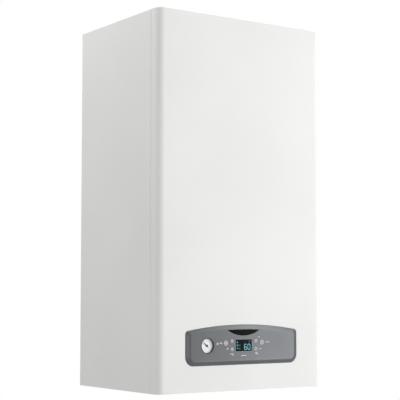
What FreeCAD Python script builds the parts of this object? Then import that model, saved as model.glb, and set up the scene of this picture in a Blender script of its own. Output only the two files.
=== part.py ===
import FreeCAD, Part
import math
import os

# Wall-hung gas boiler, in millimetres.
# The front faces -Y, the wall is the plane y = 0 and +Z is up.
# Pieces are drawn with z = 0 at the casing's bottom edge, and are moved down by hang_height when saved,
# so that the origin is the middle of the wall bracket's two bolt holes.
# A distance d is measured from the wall towards the front, so y = -d.

# Casing and frame
CASING_WIDTH = 400.0
CASING_HEIGHT = 745.0
CASING_DEPTH = 303.0
CASING_SHEET = 1.2
CASING_WRAP = 26.0
CORNER_RADIUS = 15.0
BEND_RADIUS = 2.0
SEAM = 1.0
LIP_WIDTH = 10.0
END_RECESS = 4.0
FRAME_SHEET = 1.5
PANEL_FLANGE = 14.0
TOP_FLANGE = 20.0
SHEET_GAP = 0.3
SEAL_WIDTH = 10.0
SEAL_MARGIN = 2.5
FRAME_FLANGE = 22.0
FRAME_BOTTOM = 30.0
BEAD_X = 120.0
BEAD_WIDTH = 36.0
BEAD_CREST = 24.0
BEAD_HEIGHT = 5.0
BEAD_MARGIN = 95.0
WALL_OFFSET = 14.0
OVERRUN = 5.0

# Wall bracket
BRACKET_DROP = 55.0
BRACKET_LENGTH = 300.0
BRACKET_HEIGHT = 44.0
BRACKET_SHEET = 2.5
BOLT_INSET = 30.0
BOLT_HOLE_RADIUS = 5.0
HOOK_SHARE = 0.5
HOOK_WIDTH = 30.0
HOOK_DROP = 6.0
HOOK_RISE = 12.0
HOOK_PLAY = 0.4
WINDOW_MARGIN = 3.0

# Bottom plate, its hinge ears and the tabs that take the casing's screws
PLATE_HEIGHT = 45.0
PLATE_SETBACK = 14.0
PLATE_FLANGE = 12.0
EAR_SHEET = 2.0
EAR_GAP = 3.0
EAR_REACH = 44.0
EAR_RADIUS = 6.0
TAB_WIDTH = 30.0
TAB_X = 165.0
TAB_LIFT = 0.8
TAB_NOSE = 7.0
SCREW_SETBACK = 16.0
SCREW_RADIUS = 2.1
SCREW_PLAY = 0.4
SCREW_LENGTH = 12.0
SCREW_HEAD_RADIUS = 4.5
SCREW_HEAD = 2.4

# Control fascia
FASCIA_WIDTH = 272.0
FASCIA_BOTTOM = 52.0
FASCIA_TOP = 129.0
FASCIA_ARCH_RADIUS = 800.0
FASCIA_BOTTOM_RADIUS = 17.0
FASCIA_TOP_RADIUS = 6.5
FASCIA_FACE_BOTTOM_RADIUS = 10.0
FASCIA_FACE_TOP_RADIUS = 5.0
FASCIA_PROUD = 4.0
FASCIA_RIM = 0.7
FASCIA_BEVEL = 8.0
FASCIA_CREASE = 9.0
FASCIA_WALL = 2.5
FASCIA_SKIRT = 2.5
FASCIA_GAP = 1.2
FASCIA_FLANGE = 6.0
FASCIA_FLANGE_SHEET = 2.0

# Control box and its hinge
BOX_WIDTH = 360.0
BOX_BOTTOM = 50.0
BOX_HEIGHT = 100.0
BOX_REAR = 217.0
BOX_WALL = 2.5
BOX_EDGE_RADIUS = 6.0
BOX_CLEARANCE = 2.8
BOX_WINDOW_MARGIN = 12.0
HINGE_SETBACK = 15.0
HINGE_RISE = 6.0
HINGE_PIN_RADIUS = 3.0
HINGE_CLEARANCE = 0.06
HINGE_BOSS_RADIUS = 6.0
HINGE_BOSS_LENGTH = 8.0
PIN_HEAD_RADIUS = 4.5
PIN_HEAD = 1.5

# Display, its board and the bare inlay
DISPLAY_WIDTH = 40.0
DISPLAY_HEIGHT = 23.4
DISPLAY_Z = 88.9
DISPLAY_SET = 0.4
DISPLAY_CLEARANCE = 0.2
DISPLAY_FLANGE = 2.5
DISPLAY_FLANGE_SHEET = 1.5
BOARD_WIDTH = 122.0
BOARD_HEIGHT = 52.0
BOARD_SHEET = 1.6
BOARD_DEPTH = 10.5
POST_RADIUS = 3.0
POST_INSET = 5.0
SWITCH_SIZE = 6.0
SWITCH_HEIGHT = 3.0
BADGE_WIDTH = 78.0
BADGE_BOTTOM = 108.3
BADGE_MARGIN = 0.6
BADGE_RECESS = 1.0
BADGE_RISE = 0.3
BADGE_CLEARANCE = 0.2
BADGE_TIP_SHARE = 4.0

# Buttons
LARGE_BUTTON_RADIUS = 5.4
SMALL_BUTTON_RADIUS = 3.9
LARGE_BUTTON_X = 44.2
LARGE_BUTTON_Z = 94.1
SMALL_BUTTON_X = 29.3
SMALL_UPPER_Z = 97.5
SMALL_LOWER_Z = 81.6
BUTTON_PROUD = 0.8
BUTTON_EDGE = 0.5
BUTTON_CLEARANCE = 0.25
BUTTON_FLANGE = 1.2
BUTTON_FLANGE_SHEET = 1.2
BUTTON_SEAT = 0.3
BUTTON_TRAVEL = 1.2
BUTTON_STEM_RADIUS = 1.5

# Pressure gauge
GAUGE_X = -87.2
GAUGE_Z = 89.8
GAUGE_RADIUS = 15.6
GAUGE_DIAL_RADIUS = 13.8
GAUGE_LENS_RADIUS = 14.3
GAUGE_FLANGE = 2.4
GAUGE_FLANGE_SHEET = 1.5
GAUGE_PROUD = 0.5
GAUGE_CLEARANCE = 0.2
GAUGE_LENGTH = 24.0
GAUGE_BACK = 2.0
GAUGE_BODY_RADIUS = 12.0
DIAL_SET = 4.4
DIAL_SHEET = 0.8
LENS_SET = 0.5
LENS_SHEET = 1.2
NEEDLE_ANGLE = 138.0
NEEDLE_LIFT = 0.6
NEEDLE_SHEET = 0.6
NEEDLE_LENGTH = 10.5
NEEDLE_TAIL = 5.0
NEEDLE_ROOT = 1.8
NEEDLE_TIP = 0.5
NEEDLE_HUB_RADIUS = 2.2
NEEDLE_HUB = 1.0
NEEDLE_SHAFT_RADIUS = 0.8
NEEDLE_SHAFT = 8.0
NEEDLE_CLEARANCE = 0.06

# Flue
FLUE_BORE_RADIUS = 30.0
FLUE_WALL = 2.0
COLLAR_RADIUS = 50.0
COLLAR_HEIGHT = 25.0
COLLAR_FLANGE_SIZE = 120.0
COLLAR_FLANGE_SHEET = 2.0
COLLAR_DROP = 10.0
COLLAR_SOCKET = 30.0
COLLAR_RIBS = 3
COLLAR_RIB_SHEET = 3.0
COLLAR_RIB_HEIGHT = 12.0
PIPE_PLAY = 0.3
FLUE_PIPE_RADIUS = 31.2
FLUE_PIPE_INSERT = 20.0
PLUG_X = -110.0
PLUG_RADIUS = 39.6
PLUG_FLANGE = 6.0
PLUG_FLANGE_SHEET = 3.0
PLUG_DEPTH = 7.0
PLUG_GRIP_WIDTH = 8.0
PLUG_GRIP_HEIGHT = 7.0
PLUG_WALL = 2.5

# Heat exchanger drum, its crossmember and its door
DRUM_DROP = 315.0
DRUM_RADIUS = 115.0
DRUM_WALL = 4.0
DRUM_GAP = 8.0
DRUM_LENGTH = 93.5
DRUM_RIB = 3.0
DRUM_RIB_WIDTH = 6.0
DRUM_RIBS = 3
NECK_SETBACK = 38.5
NECK_HEIGHT = 30.0
NECK_WALL = 3.5
PORT_RADIUS = 12.0
PORT_LENGTH = 7.0
PORT_D = 130.0
SUMP_X = -60.0
SUMP_RADIUS = 13.0
SUMP_BORE_RADIUS = 9.0
SUMP_DROP = 20.0
CROSSMEMBER_HEIGHT = 70.0
CROSSMEMBER_FLANGE = 25.0
DOOR_RADIUS = 112.0
DOOR_SHEET = 8.0
DOOR_DOME_RADIUS = 78.0
DOOR_DOME = 5.0
HUB_RADIUS = 30.0
HUB_LENGTH = 9.0
DOOR_RIBS = 8
DOOR_RIB_SHEET = 4.0
ELECTRODE_RADIUS = 5.0
ELECTRODE_BOOT_RADIUS = 8.0
ELECTRODE_LENGTH = 30.0
ELECTRODE_PLATE = 3.0
ELECTRODE_PLATE_RADIUS = 13.0
ELECTRODE_OFFSET = 92.0
ELECTRODE_ANGLE = 35.0

# Fan, mixing duct and venturi
FAN_DROP = 133.0
FAN_GAP = 11.0
FAN_WIDTH = 40.0
FAN_WALL = 3.0
SCROLL_RADIUS = 46.0
SCROLL_STEP = 5.0
SCROLL_TONGUE = 23.0
SCROLL_DROP = 62.0
FAN_INLET_RADIUS = 25.0
FAN_FLANGE_SHEET = 4.0
FAN_FLANGE_MARGIN = 6.0
SHAFT_RADIUS = 4.0
SHAFT_CLEARANCE = 0.06
SHAFT_INSERT = 14.0
SHAFT_END_GAP = 0.3
IMPELLER_RADIUS = 40.0
IMPELLER_EYE_RADIUS = 25.0
IMPELLER_DISC = 2.0
IMPELLER_BLADE_HEIGHT = 20.0
IMPELLER_SHROUD = 1.5
IMPELLER_SET = 2.5
IMPELLER_HUB_RADIUS = 9.0
IMPELLER_HUB_LENGTH = 12.0
BLADE_COUNT = 14
BLADE_SHEET = 1.5
BLADE_SWEEP_ANGLE = 26.0
BLADE_EDGE = 0.8
FAN_MOTOR_RADIUS = 33.0
FAN_MOTOR_LENGTH = 34.0
FAN_MOTOR_CAP_RADIUS = 26.0
FAN_MOTOR_CAP = 8.0
FAN_BOSS_RADIUS = 9.0
VENTURI_LENGTH = 24.0
VENTURI_RADIUS = 32.0
VENTURI_MOUTH_RADIUS = 28.0
VENTURI_THROAT_RADIUS = 20.0
VENTURI_PORT_RADIUS = 10.0
VENTURI_PORT_LENGTH = 10.0
DUCT_RADIUS = 18.0
DUCT_BEND = 20.0
DUCT_FLANGE_SHEET = 4.0
DUCT_FLANGE_RADIUS = 28.0

# Gas line
GAS_VALVE_X = 160.0
GAS_VALVE_Z = 252.0
GAS_VALVE_REAR = 160.0
GAS_VALVE_WIDTH = 56.0
GAS_VALVE_DEPTH = 65.0
GAS_VALVE_HEIGHT = 78.0
GAS_VALVE_EDGE = 5.0
GAS_INLET_SETBACK = 30.0
GAS_OUTLET_SETBACK = 55.0
SOLENOID_RADIUS = 14.0
SOLENOID_LENGTH = 24.0
SOLENOID_GAP = 4.0
GAS_PIPE_RADIUS = 9.0
GAS_PIPE_TURN = 225.0
GAS_PIPE_BEND = 18.0
FEED_RADIUS = 7.0
FEED_DROP = 200.0
FEED_BEND = 20.0

# Expansion vessel
VESSEL_DROP = 275.0
VESSEL_RADIUS = 157.0
VESSEL_RIM = 3.0
VESSEL_RIM_WIDTH = 6.0
VESSEL_DEPTH = 88.0
VESSEL_WALL = 1.5
VESSEL_FLAT_SHARE = 0.57
VESSEL_PORT_RADIUS = 9.0
VESSEL_PORT_DROP = 15.0
VESSEL_HOSE_RADIUS = 5.0
VESSEL_HOSE_BEND = 15.0

# Water groups and what they carry
STUB_PITCH = 67.0
STUB_D = 130.0
STUB_END = 8.0
HEATING_THREAD_RADIUS = 13.2
WATER_THREAD_RADIUS = 10.5
GAS_THREAD_RADIUS = 13.2
THREAD_LENGTH = 16.0
STUB_COLLAR = 2.0
STUB_COLLAR_GAP = 1.0
STUB_WALL = 3.0
STUB_HOLE_PLAY = 0.6
GROUP_Z = 88.0
GROUP_RADIUS = 22.0
GROUP_END = 26.0
GROUP_INNER = 50.0
GROUP_PORT_RADIUS = 17.0
GROUP_LINK_RADIUS = 11.0
RISER_X = 150.0
RISER_RADIUS = 13.0
RISER_TOP = 150.0
WATER_PIPE_RADIUS = 9.0
WATER_PIPE_BEND = 20.0
PLATES_WIDTH = 190.0
PLATES_HEIGHT = 72.0
PLATES_DEPTH = 50.0
PLATES_COUNT = 9
PLATES_STEP = 2.0
PLATES_SETBACK = 40.0
PLATES_CORNER = 16.0
DIVERTER_X = 100.0
DIVERTER_BOSS_RADIUS = 14.0
DIVERTER_BOSS_TOP = 120.0
DIVERTER_NECK = 10.0
DIVERTER_NECK_RADIUS = 17.0
DIVERTER_WIDTH = 44.0
DIVERTER_DEPTH = 58.0
DIVERTER_HEIGHT = 52.0
DIVERTER_EDGE = 6.0
PUMP_X = 128.0
PUMP_Z = 165.0
PUMP_RADIUS = 42.0
PUMP_REAR = 110.0
PUMP_WIDTH = 40.0
PUMP_SUCTION_RADIUS = 14.0
PUMP_SUCTION_DROP = 47.0
PUMP_DISCHARGE_OFFSET = 30.0
PUMP_DISCHARGE_RADIUS = 13.0
PUMP_DISCHARGE_RISE = 50.0
PUMP_MOTOR_RADIUS = 39.0
PUMP_MOTOR_LENGTH = 36.0
PUMP_MOTOR_STEP = 8.0
PUMP_FINS = 18
PUMP_FIN_SHEET = 2.0
PUMP_FIN = 2.5
VENT_OFFSET = 30.0
VENT_BOSS_RADIUS = 10.0
VENT_BOSS_RISE = 43.0
VENT_RADIUS = 12.0
VENT_HEIGHT = 32.0
VENT_CAP_RADIUS = 6.0
VENT_CAP = 8.0
SAFETY_BOSS_RADIUS = 12.0
SAFETY_BOSS_TOP = 112.0
SAFETY_RADIUS = 13.0
SAFETY_HEIGHT = 28.0
SAFETY_SPOUT_RADIUS = 7.0
SAFETY_SPOUT_REACH = 24.0
SAFETY_SPOUT_RISE = 12.0
KNOB_GAP = 0.3
KNOB_STEM_RADIUS = 4.0
KNOB_CLEARANCE = 0.06
SAFETY_KNOB_RADIUS = 13.0
SAFETY_KNOB_HEIGHT = 20.0
SAFETY_STEM = 12.0
TAP_X = -33.5
TAP_RADIUS = 13.0
TAP_HEIGHT = 38.0
TAP_LINK_RADIUS = 9.0
TAP_LINK_Z = 70.0
TAP_KNOB_RADIUS = 12.0
TAP_KNOB_HEIGHT = 26.0
TAP_KNOB_GAP = 3.0
TAP_STEM = 26.0
KNOB_LOBES = 6
KNOB_LOBE_RADIUS = 4.0
KNOB_LOBE_SHARE = 0.86
TRAP_X = -165.0
TRAP_D = 70.0
TRAP_RADIUS = 23.0
TRAP_TOP = 225.0
TRAP_RIB = 2.0
TRAP_RIB_WIDTH = 4.0
TRAP_RIBS = 4
TRAP_NECK_RADIUS = 12.0
TRAP_NECK = 10.0
TRAP_SPIGOT_RADIUS = 10.7
TRAP_SPIGOT_WALL = 2.5
TRAP_SPIGOT_GAP = 5.0
HOSE_RADIUS = 10.0
HOSE_BEND = 14.0
HOSE_TURN = 270.0
HOSE_FALL = 20.0

# Places worked out from the sizes above
half_width = CASING_WIDTH / 2
inner_half = half_width - CASING_SHEET
wrap_d = CASING_DEPTH - CASING_WRAP
body_d = wrap_d - SEAM
frame_d = WALL_OFFSET + FRAME_SHEET
hang_height = CASING_HEIGHT - BRACKET_DROP
bolt_spacing = BRACKET_LENGTH - 2 * BOLT_INSET
hook_spacing = BRACKET_LENGTH * HOOK_SHARE
top_under = CASING_HEIGHT - FRAME_SHEET
plate_top = PLATE_HEIGHT + FRAME_SHEET
plate_front = body_d - PLATE_SETBACK
plate_half = inner_half - FRAME_SHEET - SHEET_GAP
face_d = CASING_DEPTH + FASCIA_PROUD
skin_d = face_d - FASCIA_WALL
box_front = CASING_DEPTH - CASING_SHEET - BOX_CLEARANCE
box_half = BOX_WIDTH / 2
hinge_d = CASING_DEPTH - HINGE_SETBACK
hinge_z = BOX_BOTTOM + HINGE_RISE
ear_x = box_half + EAR_GAP
screw_d = CASING_DEPTH - SCREW_SETBACK
board_d = skin_d - BOARD_DEPTH
vessel_z = CASING_HEIGHT - VESSEL_DROP
vessel_front = frame_d + VESSEL_DEPTH
drum_z = CASING_HEIGHT - DRUM_DROP
drum_rear = vessel_front + DRUM_GAP
drum_front = drum_rear + DRUM_LENGTH
flue_d = drum_rear + NECK_SETBACK
door_front = drum_front + DOOR_SHEET
hub_d = door_front + HUB_LENGTH
fan_z = CASING_HEIGHT - FAN_DROP
fan_d = door_front + FAN_GAP
fan_front = fan_d + FAN_WIDTH
fan_middle = fan_d + FAN_WIDTH / 2
scroll_left = SCROLL_RADIUS + 3 * SCROLL_STEP
fan_x = (scroll_left + SCROLL_TONGUE) / 2
fan_outlet_z = fan_z - SCROLL_DROP
venturi_front = fan_front + VENTURI_LENGTH
venturi_middle = fan_front + VENTURI_LENGTH / 2
neck_bore = FLUE_PIPE_RADIUS + PIPE_PLAY
neck_top = drum_z + DRUM_RADIUS + NECK_HEIGHT
socket_top = CASING_HEIGHT - COLLAR_DROP
port_x = DRUM_RADIUS + DRUM_RIB + PORT_LENGTH
sump_bottom = drum_z - math.sqrt(DRUM_RADIUS ** 2 - SUMP_X ** 2) - SUMP_DROP
vessel_middle = frame_d + VESSEL_DEPTH / 2
vessel_port_z = vessel_z - VESSEL_RADIUS - VESSEL_PORT_DROP
pump_front = PUMP_REAR + PUMP_WIDTH
pump_middle = PUMP_REAR + PUMP_WIDTH / 2
discharge_x = PUMP_X + PUMP_DISCHARGE_OFFSET
discharge_z = PUMP_Z + PUMP_DISCHARGE_RISE
vent_x = PUMP_X - VENT_OFFSET
vent_z = PUMP_Z + VENT_BOSS_RISE
feed_turn = CASING_HEIGHT - FEED_DROP
gas_valve_top = GAS_VALVE_Z + GAS_VALVE_HEIGHT
gas_inlet_d = GAS_VALVE_REAR + GAS_INLET_SETBACK
gas_outlet_d = GAS_VALVE_REAR + GAS_OUTLET_SETBACK
plates_front = STUB_D - PLATES_SETBACK
safety_top = SAFETY_BOSS_TOP + SAFETY_HEIGHT


# Shapes that many pieces use
def at(x, d, z):
    """Point at x, at a distance d from the wall and at height z."""
    return FreeCAD.Vector(x, -d, z)


def slab(x0, x1, d0, d1, z0, z1):
    """Block between two x, two distances from the wall and two heights."""
    return Part.makeBox(x1 - x0, d1 - d0, z1 - z0, at(x0, d1, z0))


def centred(x, width, d0, d1, z0, z1):
    """Block of a width about x."""
    return slab(x - width / 2, x + width / 2, d0, d1, z0, z1)


def rod(start, end, radius):
    """Round bar between two points."""
    return Part.makeCylinder(radius, start.distanceToPoint(end), start, end.sub(start))


def fused(shapes):
    """One solid out of pieces that meet."""
    return shapes[0].multiFuse(shapes[1:]).removeSplitter()


def group(shapes):
    """Separate solids that share a node."""
    return Part.makeCompound(shapes)


def mirrored(shape):
    """Copy on the other side of the middle plane."""
    return shape.mirror(at(0, 0, 0), FreeCAD.Vector(1, 0, 0))


def both_sides(shape):
    """A piece and its mirror copy."""
    return [shape, mirrored(shape)]


def around(shape, centre, axis, count):
    """Copies of a shape, evenly turned about an axis."""
    copies = []
    for index in range(count):
        copy = shape.copy()
        copy.rotate(centre, axis, 360 * index / count)
        copies.append(copy)
    return copies


def prism(wire, d0, d1):
    """Solid of an upright outline between two distances from the wall; the outline lies at any y."""
    face = Part.Face(wire)
    face.translate(FreeCAD.Vector(0, -d0 - wire.BoundBox.YMin, 0))
    return face.extrude(FreeCAD.Vector(0, d0 - d1, 0))


def turned(profile, centre, axis):
    """Solid of revolution from (radius, length along the axis) pairs."""
    side = FreeCAD.Vector(0, 0, 1) if abs(axis.z) < abs(axis.y) else FreeCAD.Vector(1, 0, 0)
    points = [centre + side * radius + axis * along for radius, along in profile]
    face = Part.Face(Part.makePolygon(points + points[:1]))
    return face.revolve(centre, axis, 360)


def line(a, b):
    return Part.LineSegment(a, b).toShape()


def arc(a, middle, b):
    return Part.Arc(a, middle, b).toShape()


def pipe(points, radius, bend):
    """Round pipe along straight runs joined by bends of one radius."""
    edges = []
    here = points[0]
    for before, corner, after in zip(points, points[1:], points[2:]):
        incoming = corner.sub(before).normalize()
        outgoing = after.sub(corner).normalize()
        half_turn = incoming.getAngle(outgoing) / 2
        setback = bend * math.tan(half_turn)
        start = corner - incoming * setback
        end = corner + outgoing * setback
        inward = outgoing.sub(incoming).normalize()
        middle = corner + inward * (bend / math.cos(half_turn) - bend)
        edges.append(line(here, start))
        edges.append(arc(start, middle, end))
        here = end
    edges.append(line(here, points[-1]))
    profile = Part.Wire(Part.makeCircle(radius, points[0], points[1].sub(points[0])))
    return Part.Wire(edges).makePipeShell([profile], True, False)


def rounded_block(shape, radius, direction):
    """Block whose edges along one direction are rounded."""
    edges = []
    for edge in shape.Edges:
        if abs(edge.tangentAt(edge.FirstParameter).dot(direction)) > 0.99:
            edges.append(edge)
    return shape.makeFillet(radius, edges)


ALONG_X = FreeCAD.Vector(1, 0, 0)
TO_FRONT = FreeCAD.Vector(0, -1, 0)
UP = FreeCAD.Vector(0, 0, 1)


# Outlines of the control panel
def fascia_outline(inset, bottom_radius, top_radius, d):
    """Arched outline of the panel, moved inwards by an inset, with rounded corners."""
    half = FASCIA_WIDTH / 2 - inset
    bottom = FASCIA_BOTTOM + inset
    arch = FASCIA_ARCH_RADIUS - inset
    arch_z = FASCIA_TOP - FASCIA_ARCH_RADIUS
    corner_x = half - top_radius
    corner_z = arch_z + math.sqrt((arch - top_radius) ** 2 - corner_x ** 2)
    angle = math.atan2(corner_z - arch_z, corner_x)
    touch_x = arch * math.cos(angle)
    touch_z = arch_z + arch * math.sin(angle)
    top_mid_x = corner_x + top_radius * math.cos(angle / 2)
    top_mid_z = corner_z + top_radius * math.sin(angle / 2)
    diagonal = bottom_radius * (1 - math.sqrt(0.5))
    right = [
        arc(at(half - bottom_radius, d, bottom), at(half - diagonal, d, bottom + diagonal),
            at(half, d, bottom + bottom_radius)),
        line(at(half, d, bottom + bottom_radius), at(half, d, corner_z)),
        arc(at(half, d, corner_z), at(top_mid_x, d, top_mid_z), at(touch_x, d, touch_z)),
    ]
    left = [
        arc(at(-touch_x, d, touch_z), at(-top_mid_x, d, top_mid_z), at(-half, d, corner_z)),
        line(at(-half, d, corner_z), at(-half, d, bottom + bottom_radius)),
        arc(at(-half, d, bottom + bottom_radius), at(-half + diagonal, d, bottom + diagonal),
            at(-half + bottom_radius, d, bottom)),
    ]
    top = arc(at(touch_x, d, touch_z), at(0, d, arch_z + arch), at(-touch_x, d, touch_z))
    base = line(at(-half + bottom_radius, d, bottom), at(half - bottom_radius, d, bottom))
    return Part.Wire([base] + right + [top] + left)


def badge_outline(growth, d):
    """Crescent between the top edge of the panel's face and a rounder arc below it."""
    half = BADGE_WIDTH / 2 + BADGE_TIP_SHARE * growth
    arch = FASCIA_ARCH_RADIUS - FASCIA_BEVEL - BADGE_MARGIN + growth
    arch_z = FASCIA_TOP - FASCIA_ARCH_RADIUS
    tip_z = arch_z + math.sqrt(arch ** 2 - half ** 2)
    upper = arc(at(-half, d, tip_z), at(0, d, arch_z + arch), at(half, d, tip_z))
    lower = arc(at(half, d, tip_z), at(0, d, BADGE_BOTTOM - growth), at(-half, d, tip_z))
    return Part.Wire([upper, lower])


# Outer sheet metal
def rounded_front(block, radius):
    """The block with its two upright front edges rounded."""
    edges = []
    for edge in block.Edges:
        box = edge.BoundBox
        if box.ZLength > CASING_HEIGHT / 2 and box.YMax < -CASING_DEPTH / 2 - wrap_d / 2:
            edges.append(edge)
    return block.makeFillet(radius, edges)


def casing_ends():
    """Plates welded into the casing's sheet: the top one has a lip, the bottom one is set up a little."""
    plan = rounded_front(slab(-inner_half, inner_half, wrap_d, CASING_DEPTH - CASING_SHEET,
                              END_RECESS, CASING_HEIGHT), CORNER_RADIUS - CASING_SHEET)
    between = slab(-half_width, half_width, wrap_d - OVERRUN, CASING_DEPTH,
                   END_RECESS + CASING_SHEET, CASING_HEIGHT - CASING_SHEET)
    hole = rod(at(TAB_X, screw_d, 0), at(TAB_X, screw_d, END_RECESS + CASING_SHEET + OVERRUN),
               SCREW_RADIUS + SCREW_PLAY)
    plates = plan.cut([between] + both_sides(hole))
    lip_half = half_width - CASING_SHEET - LIP_WIDTH
    lip = slab(-lip_half, lip_half, wrap_d, wrap_d + CASING_SHEET,
               CASING_HEIGHT - CASING_SHEET - LIP_WIDTH, CASING_HEIGHT - CASING_SHEET)
    return fused([plates, lip])


def front_casing():
    """One sheet folded round the front: rounded corners, short sides and a lip turned in along each side."""
    pan = rounded_front(slab(-half_width, half_width, wrap_d, CASING_DEPTH, 0, CASING_HEIGHT), CORNER_RADIUS)
    hollow = rounded_front(slab(-inner_half, inner_half, wrap_d + CASING_SHEET, CASING_DEPTH - CASING_SHEET,
                                -OVERRUN, CASING_HEIGHT + OVERRUN), CORNER_RADIUS - CASING_SHEET)
    mouth_half = half_width - CASING_SHEET - LIP_WIDTH
    mouth = slab(-mouth_half, mouth_half, wrap_d - OVERRUN, wrap_d + CASING_SHEET + OVERRUN,
                 -OVERRUN, CASING_HEIGHT + OVERRUN)
    opening = prism(fascia_outline(-FASCIA_GAP, FASCIA_BOTTOM_RADIUS + FASCIA_GAP,
                                   FASCIA_TOP_RADIUS + FASCIA_GAP, 0),
                    CASING_DEPTH - CASING_SHEET - OVERRUN, CASING_DEPTH + OVERRUN)
    return pan.cut([hollow, mouth, opening, casing_ends()])


def casing_screws():
    seat = at(TAB_X, screw_d, END_RECESS)
    shank = rod(seat, seat + UP * SCREW_LENGTH, SCREW_RADIUS)
    head = rod(seat - UP * SCREW_HEAD, seat, SCREW_HEAD_RADIUS)
    return group(both_sides(fused([shank, head])))


def side_panel():
    """Right side panel: a full-height sheet with a flange turned in at its front edge."""
    block = slab(half_width - PANEL_FLANGE, half_width, 0, body_d, 0, CASING_HEIGHT)
    corner = []
    for edge in block.Edges:
        box = edge.BoundBox
        if box.ZLength > CASING_HEIGHT / 2 and box.XMin > half_width - SEAM and box.YMax < -body_d / 2:
            corner.append(edge)
    block = block.makeFillet(BEND_RADIUS, corner)
    hollow = slab(half_width - PANEL_FLANGE - OVERRUN, inner_half, -OVERRUN, body_d - CASING_SHEET,
                  -OVERRUN, CASING_HEIGHT + OVERRUN)
    return block.cut(hollow)


def top_plate():
    plate = slab(-inner_half, inner_half, WALL_OFFSET, body_d - CASING_SHEET, top_under, CASING_HEIGHT)
    flange_half = half_width - PANEL_FLANGE - SHEET_GAP
    flange = slab(-flange_half, flange_half, body_d - CASING_SHEET, body_d,
                  CASING_HEIGHT - TOP_FLANGE, CASING_HEIGHT)
    flue_hole = rod(at(0, flue_d, top_under - OVERRUN), at(0, flue_d, CASING_HEIGHT + OVERRUN),
                    COLLAR_RADIUS - FLUE_WALL)
    plug_hole = rod(at(PLUG_X, flue_d, top_under - OVERRUN), at(PLUG_X, flue_d, CASING_HEIGHT + OVERRUN),
                    PLUG_RADIUS + PIPE_PLAY)
    return fused([plate, flange]).cut([flue_hole, plug_hole])


def bead(sheet):
    """Upright stiffening bead pressed towards the wall, or its inside one sheet further in."""
    back = WALL_OFFSET + sheet
    section = [at(BEAD_X - BEAD_WIDTH / 2, back, 0), at(BEAD_X - BEAD_CREST / 2, back - BEAD_HEIGHT, 0),
               at(BEAD_X + BEAD_CREST / 2, back - BEAD_HEIGHT, 0), at(BEAD_X + BEAD_WIDTH / 2, back, 0)]
    face = Part.Face(Part.makePolygon(section + section[:1]))
    low = FRAME_BOTTOM + BEAD_MARGIN + sheet
    high = hang_height - BEAD_MARGIN - sheet
    face.translate(UP * low)
    return face.extrude(UP * (high - low))


def rear_frame():
    """Back sheet that stands off the wall, with side flanges, two beads and windows for the wall hooks."""
    plate = slab(-inner_half, inner_half, WALL_OFFSET, frame_d, FRAME_BOTTOM, top_under)
    flange = slab(inner_half - FRAME_SHEET, inner_half, WALL_OFFSET, WALL_OFFSET + FRAME_FLANGE,
                  FRAME_BOTTOM, top_under)
    shelf = hang_height - HOOK_DROP
    window = centred(hook_spacing / 2, HOOK_WIDTH + 2 * WINDOW_MARGIN, 0, frame_d + OVERRUN,
                     shelf - BRACKET_SHEET - HOOK_RISE - WINDOW_MARGIN, shelf)
    frame = fused([plate] + both_sides(flange) + both_sides(bead(0)))
    return frame.cut(both_sides(window) + both_sides(bead(FRAME_SHEET)))


def wall_bracket():
    """Strip that is bolted to the wall; its two hooks carry the upper edges of the frame's windows."""
    strip = slab(-BRACKET_LENGTH / 2, BRACKET_LENGTH / 2, 0, BRACKET_SHEET,
                 hang_height - BRACKET_HEIGHT / 2, hang_height + BRACKET_HEIGHT / 2)
    shelf = hang_height - HOOK_DROP
    hook_d = frame_d + HOOK_PLAY
    arm = centred(hook_spacing / 2, HOOK_WIDTH, 0, hook_d + BRACKET_SHEET, shelf - BRACKET_SHEET, shelf)
    tip = centred(hook_spacing / 2, HOOK_WIDTH, hook_d, hook_d + BRACKET_SHEET,
                  shelf - BRACKET_SHEET, shelf + HOOK_RISE)
    hole = rod(at(bolt_spacing / 2, -OVERRUN, hang_height),
               at(bolt_spacing / 2, BRACKET_SHEET + OVERRUN, hang_height), BOLT_HOLE_RADIUS)
    return fused([strip] + both_sides(arm) + both_sides(tip)).cut(both_sides(hole))


def casing_seal():
    """Foam strips on the body's front flanges, which the casing's lip faces."""
    thickness = SEAM - SHEET_GAP
    outer = half_width - SEAL_MARGIN
    side = slab(outer - SEAL_WIDTH, outer, body_d, body_d + thickness, SEAL_MARGIN,
                CASING_HEIGHT - SEAL_MARGIN)
    inner = outer - SEAL_WIDTH - SEAL_MARGIN
    top = slab(-inner, inner, body_d, body_d + thickness, CASING_HEIGHT - SEAL_MARGIN - SEAL_WIDTH,
               CASING_HEIGHT - SEAL_MARGIN)
    return group(both_sides(side) + [top])


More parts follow.
